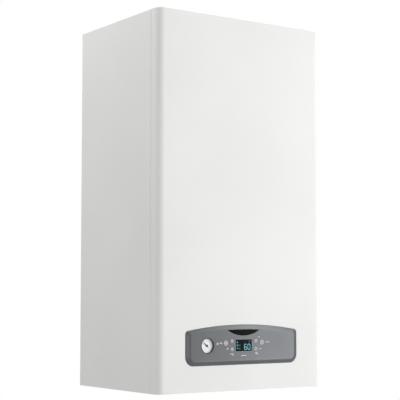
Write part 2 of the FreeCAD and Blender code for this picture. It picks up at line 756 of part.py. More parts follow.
def bottom_plate():
    """Bottom sheet with pipe holes, a front flange, two hinge ears with pins and two screw tabs."""
    plate = slab(-plate_half, plate_half, frame_d, plate_front, PLATE_HEIGHT, plate_top)
    flange = slab(-ear_x, ear_x, plate_front - FRAME_SHEET, plate_front, PLATE_HEIGHT - PLATE_FLANGE,
                  plate_top)
    ear = slab(ear_x, ear_x + EAR_SHEET, plate_front - EAR_REACH, hinge_d, PLATE_HEIGHT,
               hinge_z + EAR_RADIUS)
    ear_end = rod(at(ear_x, hinge_d, hinge_z), at(ear_x + EAR_SHEET, hinge_d, hinge_z), EAR_RADIUS)
    pin = rod(at(box_half - BOX_WALL - HINGE_BOSS_LENGTH, hinge_d, hinge_z),
              at(ear_x + EAR_SHEET, hinge_d, hinge_z), HINGE_PIN_RADIUS)
    pin_head = rod(at(ear_x + EAR_SHEET, hinge_d, hinge_z),
                   at(ear_x + EAR_SHEET + PIN_HEAD, hinge_d, hinge_z), PIN_HEAD_RADIUS)
    tab_bottom = END_RECESS + CASING_SHEET + TAB_LIFT
    drop = centred(TAB_X, TAB_WIDTH, plate_front - FRAME_SHEET, plate_front, tab_bottom, plate_top)
    tab = centred(TAB_X, TAB_WIDTH, plate_front - FRAME_SHEET, CASING_DEPTH - TAB_NOSE, tab_bottom,
                  tab_bottom + FRAME_SHEET)
    slot = centred(TAB_X, 2 * (SCREW_RADIUS + SCREW_PLAY), screw_d, CASING_DEPTH, 0, PLATE_HEIGHT / 2)
    slot_end = rod(at(TAB_X, screw_d, 0), at(TAB_X, screw_d, PLATE_HEIGHT / 2), SCREW_RADIUS + SCREW_PLAY)
    right = [ear, ear_end, pin, pin_head, drop, tab]
    pieces = [plate, flange]
    for piece in right:
        pieces += both_sides(piece)
    holes = both_sides(slot) + both_sides(slot_end)
    for x, radius in stub_places():
        holes.append(plate_hole(x, STUB_D, radius - STUB_WALL / 2 + STUB_HOLE_PLAY))
    holes.append(plate_hole(TAP_X, STUB_D, KNOB_STEM_RADIUS + STUB_HOLE_PLAY))
    holes.append(plate_hole(TRAP_X, TRAP_D, TRAP_SPIGOT_RADIUS + STUB_HOLE_PLAY))
    return fused(pieces).cut(holes)


def plate_hole(x, d, radius):
    return rod(at(x, d, PLATE_HEIGHT - OVERRUN), at(x, d, plate_top + OVERRUN), radius)


def stub_places():
    """The five connections from left to right: heating flow, hot water, gas, cold water, heating return."""
    radii = (HEATING_THREAD_RADIUS, WATER_THREAD_RADIUS, GAS_THREAD_RADIUS, WATER_THREAD_RADIUS,
             HEATING_THREAD_RADIUS)
    return [((index - 2) * STUB_PITCH, radius) for index, radius in enumerate(radii)]


def stub(x, radius):
    """Connection: a threaded end, a collar under the bottom plate and a neck through it."""
    neck = radius - STUB_WALL / 2
    collar_z = STUB_END + THREAD_LENGTH
    profile = [(radius - STUB_WALL, 0), (radius, 0), (radius, THREAD_LENGTH),
               (radius + STUB_COLLAR, THREAD_LENGTH),
               (radius + STUB_COLLAR, PLATE_HEIGHT - STUB_COLLAR_GAP - STUB_END),
               (neck, PLATE_HEIGHT - STUB_COLLAR_GAP - STUB_END),
               (neck, plate_top - STUB_END), (0, plate_top - STUB_END),
               (0, collar_z - STUB_END), (radius - STUB_WALL, collar_z - STUB_END)]
    return turned(profile, at(x, STUB_D, STUB_END), UP)


# Control box
def control_box():
    """Moulded box, closed but for the window behind the fascia, with two hinge bosses."""
    top = BOX_BOTTOM + BOX_HEIGHT
    shell = slab(-box_half, box_half, BOX_REAR, box_front, BOX_BOTTOM, top)
    shell = rounded_block(shell, BOX_EDGE_RADIUS, TO_FRONT)
    inner = slab(-box_half + BOX_WALL, box_half - BOX_WALL, BOX_REAR + BOX_WALL, box_front - BOX_WALL,
                 BOX_BOTTOM + BOX_WALL, top - BOX_WALL)
    inner = rounded_block(inner, BOX_EDGE_RADIUS - BOX_WALL, TO_FRONT)
    window = slab(-FASCIA_WIDTH / 2 + BOX_WINDOW_MARGIN, FASCIA_WIDTH / 2 - BOX_WINDOW_MARGIN,
                  box_front - BOX_WALL - OVERRUN, box_front + OVERRUN,
                  FASCIA_BOTTOM + BOX_WINDOW_MARGIN, FASCIA_TOP - BOX_WINDOW_MARGIN)
    boss = rod(at(box_half - BOX_WALL - HINGE_BOSS_LENGTH, hinge_d, hinge_z),
               at(box_half - BOX_WALL / 2, hinge_d, hinge_z), HINGE_BOSS_RADIUS)
    boss = boss.common(shell)
    bore = rod(at(box_half - BOX_WALL - HINGE_BOSS_LENGTH - OVERRUN, hinge_d, hinge_z),
               at(box_half + OVERRUN, hinge_d, hinge_z), HINGE_PIN_RADIUS + HINGE_CLEARANCE)
    return fused([shell.cut([inner, window])] + both_sides(boss)).cut(both_sides(bore))


def control_fascia():
    """Panel moulding: a flange behind the casing, a rim through its opening and a bevel up to the face."""
    rim_d = CASING_DEPTH + FASCIA_RIM
    flange = prism(fascia_outline(-FASCIA_FLANGE, FASCIA_BOTTOM_RADIUS + FASCIA_FLANGE,
                                  FASCIA_TOP_RADIUS + FASCIA_FLANGE, 0),
                   box_front, box_front + FASCIA_FLANGE_SHEET)
    rim = prism(fascia_outline(0, FASCIA_BOTTOM_RADIUS, FASCIA_TOP_RADIUS, 0), box_front, rim_d)
    bevel = Part.makeLoft([
        fascia_outline(0, FASCIA_BOTTOM_RADIUS, FASCIA_TOP_RADIUS, rim_d),
        fascia_outline(FASCIA_BEVEL, FASCIA_FACE_BOTTOM_RADIUS, FASCIA_FACE_TOP_RADIUS, face_d),
    ], True, True)
    inset = FASCIA_BEVEL + FASCIA_SKIRT
    hollow = prism(fascia_outline(inset, FASCIA_FACE_BOTTOM_RADIUS, FASCIA_FACE_TOP_RADIUS, 0),
                   box_front - OVERRUN, skin_d)
    cuts = [hollow, display_block(DISPLAY_CLEARANCE, skin_d - OVERRUN, face_d + OVERRUN),
            prism(badge_outline(BADGE_CLEARANCE, 0), face_d - BADGE_RECESS, face_d + OVERRUN),
            rod(at(GAUGE_X, skin_d - OVERRUN, GAUGE_Z), at(GAUGE_X, face_d + OVERRUN, GAUGE_Z),
                GAUGE_RADIUS + GAUGE_CLEARANCE)]
    for name, x, z, radius in button_places():
        cuts.append(rod(at(x, skin_d - OVERRUN, z), at(x, face_d + OVERRUN, z), radius + BUTTON_CLEARANCE))
    face_edges = [edge for edge in bevel.Edges if edge.BoundBox.YMax < -face_d + BADGE_CLEARANCE]
    panel = fused([flange, rim, bevel.makeFillet(FASCIA_CREASE, face_edges)]).cut(cuts)
    posts = []
    for x in (-BOARD_WIDTH / 2 + POST_INSET, BOARD_WIDTH / 2 - POST_INSET):
        for z in (DISPLAY_Z - BOARD_HEIGHT / 2 + POST_INSET, DISPLAY_Z + BOARD_HEIGHT / 2 - POST_INSET):
            posts.append(rod(at(x, board_d, z), at(x, skin_d, z), POST_RADIUS))
    return fused([panel] + posts)


def display_block(growth, d0, d1):
    """Upright block of the display's size, grown on all four sides."""
    half = DISPLAY_HEIGHT / 2 + growth
    return centred(0, DISPLAY_WIDTH + 2 * growth, d0, d1, DISPLAY_Z - half, DISPLAY_Z + half)


def display_window():
    pane = display_block(0, skin_d - DISPLAY_FLANGE_SHEET, face_d - DISPLAY_SET)
    flange = display_block(DISPLAY_FLANGE, skin_d - DISPLAY_FLANGE_SHEET, skin_d)
    return fused([pane, flange])


def control_board():
    """Display board: a sheet on the fascia's posts, the display behind its window and six switches."""
    board = centred(0, BOARD_WIDTH, board_d - BOARD_SHEET, board_d, DISPLAY_Z - BOARD_HEIGHT / 2,
                    DISPLAY_Z + BOARD_HEIGHT / 2)
    module = display_block(DISPLAY_FLANGE, board_d, skin_d - DISPLAY_FLANGE_SHEET)
    parts = [board, module]
    for name, x, z, radius in button_places():
        parts.append(centred(x, SWITCH_SIZE, board_d, board_d + SWITCH_HEIGHT, z - SWITCH_SIZE / 2,
                             z + SWITCH_SIZE / 2))
    return fused(parts)


def badge_insert():
    return prism(badge_outline(0, 0), face_d - BADGE_RECESS, face_d + BADGE_RISE)


def button_places():
    """Name, x, z and radius of each button."""
    places = []
    for side, sign in (("left", -1), ("right", 1)):
        places.append((f"button_{side}_large", sign * LARGE_BUTTON_X, LARGE_BUTTON_Z, LARGE_BUTTON_RADIUS))
        places.append((f"button_{side}_upper", sign * SMALL_BUTTON_X, SMALL_UPPER_Z, SMALL_BUTTON_RADIUS))
        places.append((f"button_{side}_lower", sign * SMALL_BUTTON_X, SMALL_LOWER_Z, SMALL_BUTTON_RADIUS))
    return places


def button(x, z, radius):
    """Round key: a stem over its switch, a flange behind the fascia and a cap with a softened edge."""
    flange_front = skin_d - BUTTON_SEAT
    flange_rear = flange_front - BUTTON_FLANGE_SHEET
    stem_end = board_d + SWITCH_HEIGHT + BUTTON_TRAVEL + BUTTON_SEAT
    cap = face_d + BUTTON_PROUD
    profile = [(0, stem_end), (BUTTON_STEM_RADIUS, stem_end), (BUTTON_STEM_RADIUS, flange_rear),
               (radius + BUTTON_FLANGE, flange_rear), (radius + BUTTON_FLANGE, flange_front),
               (radius, flange_front), (radius, cap - BUTTON_EDGE), (radius - BUTTON_EDGE, cap), (0, cap)]
    return turned(profile, at(x, 0, z), TO_FRONT)


def gauge_case():
    """Stepped cup: a rim through the fascia, a flange behind it, seats for the lens and the dial."""
    rim = face_d + GAUGE_PROUD
    dial_back = rim - DIAL_SET - DIAL_SHEET
    lens_back = rim - LENS_SET - LENS_SHEET
    rear = rim - GAUGE_LENGTH
    lens_bore = GAUGE_LENS_RADIUS + GAUGE_CLEARANCE
    profile = [(0, rear), (GAUGE_RADIUS, rear), (GAUGE_RADIUS, skin_d - GAUGE_FLANGE_SHEET),
               (GAUGE_RADIUS + GAUGE_FLANGE, skin_d - GAUGE_FLANGE_SHEET),
               (GAUGE_RADIUS + GAUGE_FLANGE, skin_d), (GAUGE_RADIUS, skin_d), (GAUGE_RADIUS, rim),
               (lens_bore, rim), (lens_bore, lens_back), (GAUGE_DIAL_RADIUS + GAUGE_CLEARANCE, lens_back),
               (GAUGE_DIAL_RADIUS + GAUGE_CLEARANCE, dial_back), (GAUGE_BODY_RADIUS, dial_back),
               (GAUGE_BODY_RADIUS, rear + GAUGE_BACK), (0, rear + GAUGE_BACK)]
    return turned(profile, at(GAUGE_X, 0, GAUGE_Z), TO_FRONT)


def gauge_dial():
    front = face_d + GAUGE_PROUD - DIAL_SET
    disc = rod(at(GAUGE_X, front - DIAL_SHEET, GAUGE_Z), at(GAUGE_X, front, GAUGE_Z), GAUGE_DIAL_RADIUS)
    hole = rod(at(GAUGE_X, front - DIAL_SHEET - OVERRUN, GAUGE_Z), at(GAUGE_X, front + OVERRUN, GAUGE_Z),
               NEEDLE_SHAFT_RADIUS + NEEDLE_CLEARANCE)
    return disc.cut(hole)


def gauge_needle():
    """Pointer that tapers to both ends, on a hub with a shaft through the dial."""
    back = face_d + GAUGE_PROUD - DIAL_SET + NEEDLE_LIFT
    centre = at(GAUGE_X, back, GAUGE_Z)
    outline = [(-NEEDLE_TAIL, -NEEDLE_TIP), (0, -NEEDLE_ROOT / 2), (NEEDLE_LENGTH, -NEEDLE_TIP / 2),
               (NEEDLE_LENGTH, NEEDLE_TIP / 2), (0, NEEDLE_ROOT / 2), (-NEEDLE_TAIL, NEEDLE_TIP)]
    points = [centre + FreeCAD.Vector(along, 0, across) for along, across in outline]
    pointer = Part.Face(Part.makePolygon(points + points[:1])).extrude(TO_FRONT * NEEDLE_SHEET)
    pointer.rotate(centre, TO_FRONT, NEEDLE_ANGLE)
    hub = rod(centre, centre + TO_FRONT * NEEDLE_HUB, NEEDLE_HUB_RADIUS)
    shaft = rod(centre - TO_FRONT * NEEDLE_SHAFT, centre + TO_FRONT * NEEDLE_HUB, NEEDLE_SHAFT_RADIUS)
    return fused([pointer, hub, shaft])


def gauge_lens():
    front = face_d + GAUGE_PROUD - LENS_SET
    return rod(at(GAUGE_X, front - LENS_SHEET, GAUGE_Z), at(GAUGE_X, front, GAUGE_Z), GAUGE_LENS_RADIUS)


# Flue
def flue_collar():
    """Concentric adapter: a flange, an outer collar, an inner spigot with a socket below and ribs between."""
    top = CASING_HEIGHT + COLLAR_HEIGHT
    inner_wall = FLUE_BORE_RADIUS + FLUE_WALL
    outer_bore = COLLAR_RADIUS - FLUE_WALL
    flange = slab(-COLLAR_FLANGE_SIZE / 2, COLLAR_FLANGE_SIZE / 2, flue_d - COLLAR_FLANGE_SIZE / 2,
                  flue_d + COLLAR_FLANGE_SIZE / 2, CASING_HEIGHT, CASING_HEIGHT + COLLAR_FLANGE_SHEET)
    flange = rounded_block(flange, COLLAR_FLANGE_SHEET + FLUE_WALL, UP)
    tube = rod(at(0, flue_d, CASING_HEIGHT), at(0, flue_d, top), COLLAR_RADIUS)
    outer = fused([flange, tube])
    outer = outer.cut(rod(at(0, flue_d, CASING_HEIGHT - OVERRUN), at(0, flue_d, top + OVERRUN), outer_bore))
    socket = socket_top - COLLAR_SOCKET
    profile = [(neck_bore, socket), (neck_bore + FLUE_WALL, socket), (neck_bore + FLUE_WALL, socket_top),
               (inner_wall, socket_top + FLUE_WALL), (inner_wall, top), (FLUE_BORE_RADIUS, top),
               (FLUE_BORE_RADIUS, socket_top), (neck_bore, socket_top)]
    spigot = turned(profile, at(0, flue_d, 0), UP)
    rib = centred(0, COLLAR_RIB_SHEET, flue_d + FLUE_BORE_RADIUS + FLUE_WALL / 2,
                  flue_d + outer_bore + FLUE_WALL / 2, CASING_HEIGHT, CASING_HEIGHT + COLLAR_RIB_HEIGHT)
    return fused([outer, spigot] + around(rib, at(0, flue_d, 0), UP, COLLAR_RIBS))


def air_plug():
    """Cap that blanks the second opening, with a grip bar."""
    rim = CASING_HEIGHT + PLUG_FLANGE_SHEET
    bottom = CASING_HEIGHT - PLUG_DEPTH
    profile = [(PLUG_RADIUS - PLUG_WALL, bottom), (PLUG_RADIUS, bottom), (PLUG_RADIUS, CASING_HEIGHT),
               (PLUG_RADIUS + PLUG_FLANGE, CASING_HEIGHT), (PLUG_RADIUS + PLUG_FLANGE, rim), (0, rim),
               (0, rim - PLUG_WALL), (PLUG_RADIUS - PLUG_WALL, rim - PLUG_WALL)]
    cap = turned(profile, at(PLUG_X, flue_d, 0), UP)
    grip = slab(PLUG_X - PLUG_RADIUS / 2, PLUG_X + PLUG_RADIUS / 2, flue_d - PLUG_GRIP_WIDTH / 2,
                flue_d + PLUG_GRIP_WIDTH / 2, rim - PLUG_WALL / 2, rim + PLUG_GRIP_HEIGHT)
    return fused([cap, grip])


def flue_pipe():
    bottom = neck_top - FLUE_PIPE_INSERT
    top = socket_top - FLUE_WALL
    outer = rod(at(0, flue_d, bottom), at(0, flue_d, top), FLUE_PIPE_RADIUS)
    return outer.cut(rod(at(0, flue_d, bottom - OVERRUN), at(0, flue_d, top + OVERRUN),
                         FLUE_PIPE_RADIUS - FLUE_WALL))


# Combustion
def exchanger_crossmember():
    """Sheet between the side panels that the drum is fixed to."""
    z0 = drum_z - CROSSMEMBER_HEIGHT / 2
    z1 = drum_z + CROSSMEMBER_HEIGHT / 2
    plate = slab(-inner_half, inner_half, drum_rear - FRAME_SHEET, drum_rear, z0, z1)
    flange = slab(inner_half - FRAME_SHEET, inner_half, drum_rear - FRAME_SHEET,
                  drum_rear + CROSSMEMBER_FLANGE, z0, z1)
    return fused([plate] + both_sides(flange))


def heat_exchanger():
    """Ribbed drum, open at its front, with a flue neck, two water ports and a condensate spigot."""
    rear = at(0, drum_rear, drum_z)
    front = at(0, drum_front, drum_z)
    pieces = [rod(rear, front, DRUM_RADIUS)]
    pitch = (DRUM_LENGTH - DRUM_RIB_WIDTH) / DRUM_RIBS
    for index in range(DRUM_RIBS):
        start = drum_front - DRUM_RIB_WIDTH - index * pitch
        rib_end = at(0, start + DRUM_RIB_WIDTH, drum_z)
        pieces.append(rod(at(0, start, drum_z), rib_end, DRUM_RADIUS + DRUM_RIB))
    pieces.append(rod(at(0, flue_d, drum_z), at(0, flue_d, neck_top), neck_bore + NECK_WALL))
    pieces.append(rod(at(-port_x, PORT_D, drum_z), at(port_x, PORT_D, drum_z), PORT_RADIUS))
    pieces.append(rod(at(SUMP_X, flue_d, drum_z), at(SUMP_X, flue_d, sump_bottom), SUMP_RADIUS))
    hollow = rod(at(0, drum_rear + DRUM_WALL, drum_z), at(0, drum_front + OVERRUN, drum_z),
                 DRUM_RADIUS - DRUM_WALL)
    neck = rod(at(0, flue_d, drum_z), at(0, flue_d, neck_top + OVERRUN), neck_bore)
    sump = rod(at(SUMP_X, flue_d, drum_z), at(SUMP_X, flue_d, sump_bottom - OVERRUN), SUMP_BORE_RADIUS)
    return fused(pieces).cut([hollow, neck, sump])


def burner_door():
    """Cast door with a dome, radial ribs and the hub that takes the mixing duct."""
    bevel = DOOR_DOME
    profile = [(DUCT_RADIUS, drum_front), (DOOR_RADIUS, drum_front), (DOOR_RADIUS, door_front),
               (DOOR_DOME_RADIUS, door_front), (DOOR_DOME_RADIUS - bevel, door_front + DOOR_DOME),
               (HUB_RADIUS, door_front + DOOR_DOME), (HUB_RADIUS, hub_d), (DUCT_RADIUS, hub_d)]
    door = turned(profile, at(0, 0, drum_z), TO_FRONT)
    rib = centred(0, DOOR_RIB_SHEET, door_front - DOOR_SHEET / 2, door_front + DOOR_DOME,
                  drum_z + DOOR_DOME_RADIUS - 2 * bevel, drum_z + DOOR_RADIUS - bevel)
    rib.rotate(at(0, 0, drum_z), TO_FRONT, 180 / DOOR_RIBS)
    return fused([door] + around(rib, at(0, 0, drum_z), TO_FRONT, DOOR_RIBS))


def ignition_electrode():
    """Ceramic post on a small plate, with a boot at its end."""
    angle = math.radians(ELECTRODE_ANGLE)
    x = ELECTRODE_OFFSET * math.cos(angle)
    z = drum_z + ELECTRODE_OFFSET * math.sin(angle)
    profile = [(0, 0), (ELECTRODE_PLATE_RADIUS, 0), (ELECTRODE_PLATE_RADIUS, ELECTRODE_PLATE),
               (ELECTRODE_RADIUS, ELECTRODE_PLATE), (ELECTRODE_RADIUS, ELECTRODE_LENGTH / 2),
               (ELECTRODE_BOOT_RADIUS, ELECTRODE_LENGTH / 2), (ELECTRODE_BOOT_RADIUS, ELECTRODE_LENGTH),
               (0, ELECTRODE_LENGTH)]
    return turned(profile, at(x, door_front, z), TO_FRONT)


def mixing_duct():
    """Elbow from the fan's outlet down to the door's hub."""
    top = fan_outlet_z - FAN_FLANGE_SHEET
    route = [at(0, fan_middle, top), at(0, fan_middle, drum_z), at(0, hub_d, drum_z)]
    tube = pipe(route, DUCT_RADIUS, DUCT_BEND)
    plate = slab(-outlet_half(), outlet_half(), fan_d - FAN_FLANGE_MARGIN, fan_front + FAN_FLANGE_MARGIN,
                 top - DUCT_FLANGE_SHEET, top)
    ring = rod(at(0, hub_d, drum_z), at(0, hub_d + DUCT_FLANGE_SHEET, drum_z), DUCT_FLANGE_RADIUS)
    return fused([tube, plate, ring])


def outlet_half():
    """Half the width of the flange at the fan's outlet."""
    return (scroll_left - SCROLL_TONGUE) / 2 + FAN_FLANGE_MARGIN


def scroll_outline(inset, drop):
    """Scroll of three growing arcs that runs out straight down, moved inwards by an inset."""
    radius = SCROLL_RADIUS - inset
    tongue = -SCROLL_TONGUE - inset
    tongue_z = -math.sqrt(radius ** 2 - tongue ** 2)
    start = math.atan2(tongue_z, tongue) + 2 * math.pi
    left = -scroll_left + inset
    arcs = ((0, 0, start, 2 * math.pi), (-SCROLL_STEP, 0, 0, math.pi / 2),
            (-SCROLL_STEP, -SCROLL_STEP, math.pi / 2, math.pi))
    edges = []
    for index, (x, z, first, last) in enumerate(arcs):
        reach = radius + index * SCROLL_STEP
        points = []
        for angle in (first, (first + last) / 2, last):
            points.append(at(fan_x + x + reach * math.cos(angle), 0, fan_z + z + reach * math.sin(angle)))
        edges.append(arc(*points))
    bottom = fan_z - drop
    edges.append(line(at(fan_x + left, 0, fan_z - SCROLL_STEP), at(fan_x + left, 0, bottom)))
    edges.append(line(at(fan_x + left, 0, bottom), at(fan_x + tongue, 0, bottom)))
    edges.append(line(at(fan_x + tongue, 0, bottom), at(fan_x + tongue, 0, fan_z + tongue_z)))
    return Part.Wire(edges)


def fan_housing():
    """Scroll with a round inlet at its front and a flanged outlet below."""
    shell = prism(scroll_outline(0, SCROLL_DROP), fan_d, fan_front)
    flange = slab(-outlet_half(), outlet_half(), fan_d - FAN_FLANGE_MARGIN, fan_front + FAN_FLANGE_MARGIN,
                  fan_outlet_z - FAN_FLANGE_SHEET, fan_outlet_z)
    hollow = prism(scroll_outline(FAN_WALL, SCROLL_DROP + OVERRUN), fan_d + FAN_WALL, fan_front - FAN_WALL)
    inlet = rod(at(fan_x, fan_middle, fan_z), at(fan_x, fan_front + OVERRUN, fan_z), FAN_INLET_RADIUS)
    shaft = rod(at(fan_x, fan_d - OVERRUN, fan_z), at(fan_x, fan_middle, fan_z), FAN_BOSS_RADIUS)
    return fused([shell, flange]).cut([hollow, inlet, shaft])


def fan_impeller():
    """Back disc, swept blades, a shroud ring and a hub with its shaft."""
    back = fan_d + FAN_WALL + IMPELLER_SET
    blade_d = back + IMPELLER_DISC
    shroud_d = blade_d + IMPELLER_BLADE_HEIGHT
    centre = at(fan_x, 0, fan_z)
    profile = [(0, back - IMPELLER_SET - FAN_WALL - SHAFT_INSERT),
               (SHAFT_RADIUS, back - IMPELLER_SET - FAN_WALL - SHAFT_INSERT), (SHAFT_RADIUS, back),
               (IMPELLER_RADIUS, back), (IMPELLER_RADIUS, blade_d), (IMPELLER_HUB_RADIUS, blade_d),
               (IMPELLER_HUB_RADIUS, back + IMPELLER_HUB_LENGTH), (0, back + IMPELLER_HUB_LENGTH)]
    disc = turned(profile, centre, TO_FRONT)
    shroud = turned([(IMPELLER_EYE_RADIUS, shroud_d), (IMPELLER_RADIUS, shroud_d),
                     (IMPELLER_RADIUS, shroud_d + IMPELLER_SHROUD),
                     (IMPELLER_EYE_RADIUS, shroud_d + IMPELLER_SHROUD)], centre, TO_FRONT)
    blade = prism(blade_outline(), blade_d - IMPELLER_DISC / 2, shroud_d + IMPELLER_SHROUD / 2)
    blades = around(blade, at(fan_x, 0, fan_z), TO_FRONT, BLADE_COUNT)
    return fused([disc, shroud] + blades)


def blade_outline():
    """One swept blade: two arcs from the eye to the rim."""
    inner = IMPELLER_EYE_RADIUS + BLADE_EDGE
    outer = IMPELLER_RADIUS - BLADE_EDGE
    sweep = math.radians(BLADE_SWEEP_ANGLE)

    def place(radius, angle):
        return at(fan_x + radius * math.cos(angle), 0, fan_z + radius * math.sin(angle))

    def edge(shift):
        middle = (inner + outer) / 2
        return [place(inner, shift / inner), place(middle, sweep / 3 + shift / middle),
                place(outer, sweep + shift / outer)]

    low = edge(-BLADE_SHEET / 2)
    high = edge(BLADE_SHEET / 2)
    return Part.Wire([arc(*low), line(low[2], high[2]), arc(*reversed(high)), line(high[0], low[0])])


def fan_motor():
    """Motor behind the scroll: a can with a smaller cap and a bore for the shaft."""
    rear = fan_d - FAN_MOTOR_LENGTH
    bore = SHAFT_RADIUS + SHAFT_CLEARANCE
    bore_end = fan_d - SHAFT_INSERT - SHAFT_END_GAP
    profile = [(0, rear), (FAN_MOTOR_CAP_RADIUS, rear), (FAN_MOTOR_CAP_RADIUS, rear + FAN_MOTOR_CAP),
               (FAN_MOTOR_RADIUS, rear + FAN_MOTOR_CAP), (FAN_MOTOR_RADIUS, fan_d), (bore, fan_d),
               (bore, bore_end), (0, bore_end)]
    return turned(profile, at(fan_x, 0, fan_z), TO_FRONT)


def venturi():
    """Ring on the fan's inlet that narrows to a throat, with a gas port at its right."""
    throat = VENTURI_LENGTH / 3
    profile = [(FAN_INLET_RADIUS, fan_front), (VENTURI_RADIUS, fan_front), (VENTURI_RADIUS, venturi_front),
               (VENTURI_MOUTH_RADIUS, venturi_front), (VENTURI_THROAT_RADIUS, venturi_middle + throat / 2),
               (VENTURI_THROAT_RADIUS, venturi_middle - throat / 2)]
    ring = turned(profile, at(fan_x, 0, fan_z), TO_FRONT)
    port = rod(at(fan_x + (VENTURI_RADIUS + VENTURI_THROAT_RADIUS) / 2, venturi_middle, fan_z),
               at(venturi_port_x(), venturi_middle, fan_z), VENTURI_PORT_RADIUS)
    return fused([ring, port])


def venturi_port_x():
    return fan_x + VENTURI_RADIUS + VENTURI_PORT_LENGTH


def gas_valve():
    """Block with two solenoid caps at its front."""
    body = centred(GAS_VALVE_X, GAS_VALVE_WIDTH, GAS_VALVE_REAR, GAS_VALVE_REAR + GAS_VALVE_DEPTH,
                   GAS_VALVE_Z, gas_valve_top)
    body = rounded_block(body, GAS_VALVE_EDGE, TO_FRONT)
    front = GAS_VALVE_REAR + GAS_VALVE_DEPTH
    pieces = [body]
    for side in (-1, 1):
        z = GAS_VALVE_Z + GAS_VALVE_HEIGHT / 2 + side * (SOLENOID_RADIUS + SOLENOID_GAP)
        coil_end = at(GAS_VALVE_X, front + SOLENOID_LENGTH, z)
        pieces.append(rod(at(GAS_VALVE_X, front - SOLENOID_GAP, z), coil_end, SOLENOID_RADIUS))
    return fused(pieces)


def gas_pipe():
    """From the gas stub up and over the pump to the valve's underside."""
    route = [at(0, STUB_D, plate_top), at(0, STUB_D, GAS_PIPE_TURN),
             at(GAS_VALVE_X, gas_inlet_d, GAS_PIPE_TURN), at(GAS_VALVE_X, gas_inlet_d, GAS_VALVE_Z)]
    return pipe(route, GAS_PIPE_RADIUS, GAS_PIPE_BEND)


def gas_feed_pipe():
    """From the valve's top to the venturi's port."""
    route = [at(GAS_VALVE_X, gas_outlet_d, gas_valve_top), at(GAS_VALVE_X, gas_outlet_d, feed_turn),
             at(GAS_VALVE_X, venturi_middle, fan_z), at(venturi_port_x(), venturi_middle, fan_z)]
    return pipe(route, FEED_RADIUS, FEED_BEND)


def condensate_trap():
    """Bottle with ribs, a neck for the hose and a drain spigot through the bottom plate."""
    bore = TRAP_SPIGOT_RADIUS - TRAP_SPIGOT_WALL
    step_z = PLATE_HEIGHT - TRAP_SPIGOT_GAP
    waist = TRAP_SPIGOT_RADIUS - TRAP_SPIGOT_WALL / 2
    profile = [(bore, STUB_END), (TRAP_SPIGOT_RADIUS, STUB_END), (TRAP_SPIGOT_RADIUS, step_z),
               (waist, step_z), (waist, plate_top), (TRAP_RADIUS, plate_top), (TRAP_RADIUS, TRAP_TOP),
               (TRAP_NECK_RADIUS, TRAP_TOP + TRAP_NECK / 2), (TRAP_NECK_RADIUS, TRAP_TOP + TRAP_NECK),
               (0, TRAP_TOP + TRAP_NECK), (0, plate_top), (bore, plate_top)]
    bottle = turned(profile, at(TRAP_X, TRAP_D, 0), UP)
    pitch = (TRAP_TOP - plate_top) / (TRAP_RIBS + 1)
    ribs = []
    for index in range(TRAP_RIBS):
        z = plate_top + (index + 1) * pitch
        rib_top = at(TRAP_X, TRAP_D, z + TRAP_RIB_WIDTH)
        ribs.append(rod(at(TRAP_X, TRAP_D, z), rib_top, TRAP_RADIUS + TRAP_RIB))
    return fused([bottle] + ribs)


def condensate_hose():
    """From the drum's spigot across to the trap's neck."""
    route = [at(SUMP_X, flue_d, sump_bottom), at(SUMP_X, flue_d, HOSE_TURN),
             at(TRAP_X, TRAP_D, TRAP_TOP + TRAP_NECK + HOSE_FALL), at(TRAP_X, TRAP_D, TRAP_TOP + TRAP_NECK)]
    return pipe(route, HOSE_RADIUS, HOSE_BEND)


# Water side
def vessel_shell(inset):
    """Flat round vessel: two dished halves, moved inwards by an inset."""
    radius = VESSEL_RADIUS - inset
    flat = VESSEL_RADIUS * VESSEL_FLAT_SHARE
    half = VESSEL_DEPTH / 2 - inset
    seam = VESSEL_RIM_WIDTH / 2
    across = radius - flat
    along = half - seam
    dish = (across ** 2 + along ** 2) / (2 * along)
    half_turn = math.asin(across / dish) / 2
    shoulder = flat + dish * math.sin(half_turn)
    depth = half - dish * (1 - math.cos(half_turn))

    def point(across, along):
        return at(0, vessel_middle + along, vessel_z + across)

    edges = [line(point(0, -half), point(flat, -half)),
             arc(point(flat, -half), point(shoulder, -depth), point(radius, -seam)),
             line(point(radius, -seam), point(radius, seam)),
             arc(point(radius, seam), point(shoulder, depth), point(flat, half)),
             line(point(flat, half), point(0, half)),
             line(point(0, half), point(0, -half))]
    return Part.Face(Part.Wire(edges)).revolve(point(0, 0), TO_FRONT, 360)


def expansion_vessel():
    """Hollow vessel with a rolled seam and a port at its bottom, fixed to the rear frame."""
    seam = VESSEL_RIM_WIDTH / 2
    rim = rod(at(0, vessel_middle - seam, vessel_z), at(0, vessel_middle + seam, vessel_z),
              VESSEL_RADIUS + VESSEL_RIM)
    port = rod(at(0, vessel_middle, vessel_z - VESSEL_RADIUS), at(0, vessel_middle, vessel_port_z),
               VESSEL_PORT_RADIUS)
    return fused([vessel_shell(0), rim, port]).cut(vessel_shell(VESSEL_WALL))


def vessel_hose():
    """From the vessel's port down and across to the back of the pump."""
    route = [at(0, vessel_middle, vessel_port_z), at(0, vessel_middle, PUMP_Z),
             at(PUMP_X, vessel_middle, PUMP_Z), at(PUMP_X, PUMP_REAR, PUMP_Z)]
    return pipe(route, VESSEL_HOSE_RADIUS, VESSEL_HOSE_BEND)


def water_group(sign):
    """Manifold over two connections, with a link back to the plate exchanger."""
    outer = 2 * STUB_PITCH + GROUP_END
    pieces = [rod(at(sign * GROUP_INNER, STUB_D, GROUP_Z), at(sign * outer, STUB_D, GROUP_Z), GROUP_RADIUS)]
    for index in (1, 2):
        x = sign * index * STUB_PITCH
        pieces.append(rod(at(x, STUB_D, plate_top), at(x, STUB_D, GROUP_Z), GROUP_PORT_RADIUS))
    x = sign * STUB_PITCH
    pieces.append(rod(at(x, plates_front, GROUP_Z), at(x, STUB_D, GROUP_Z), GROUP_LINK_RADIUS))
    return pieces


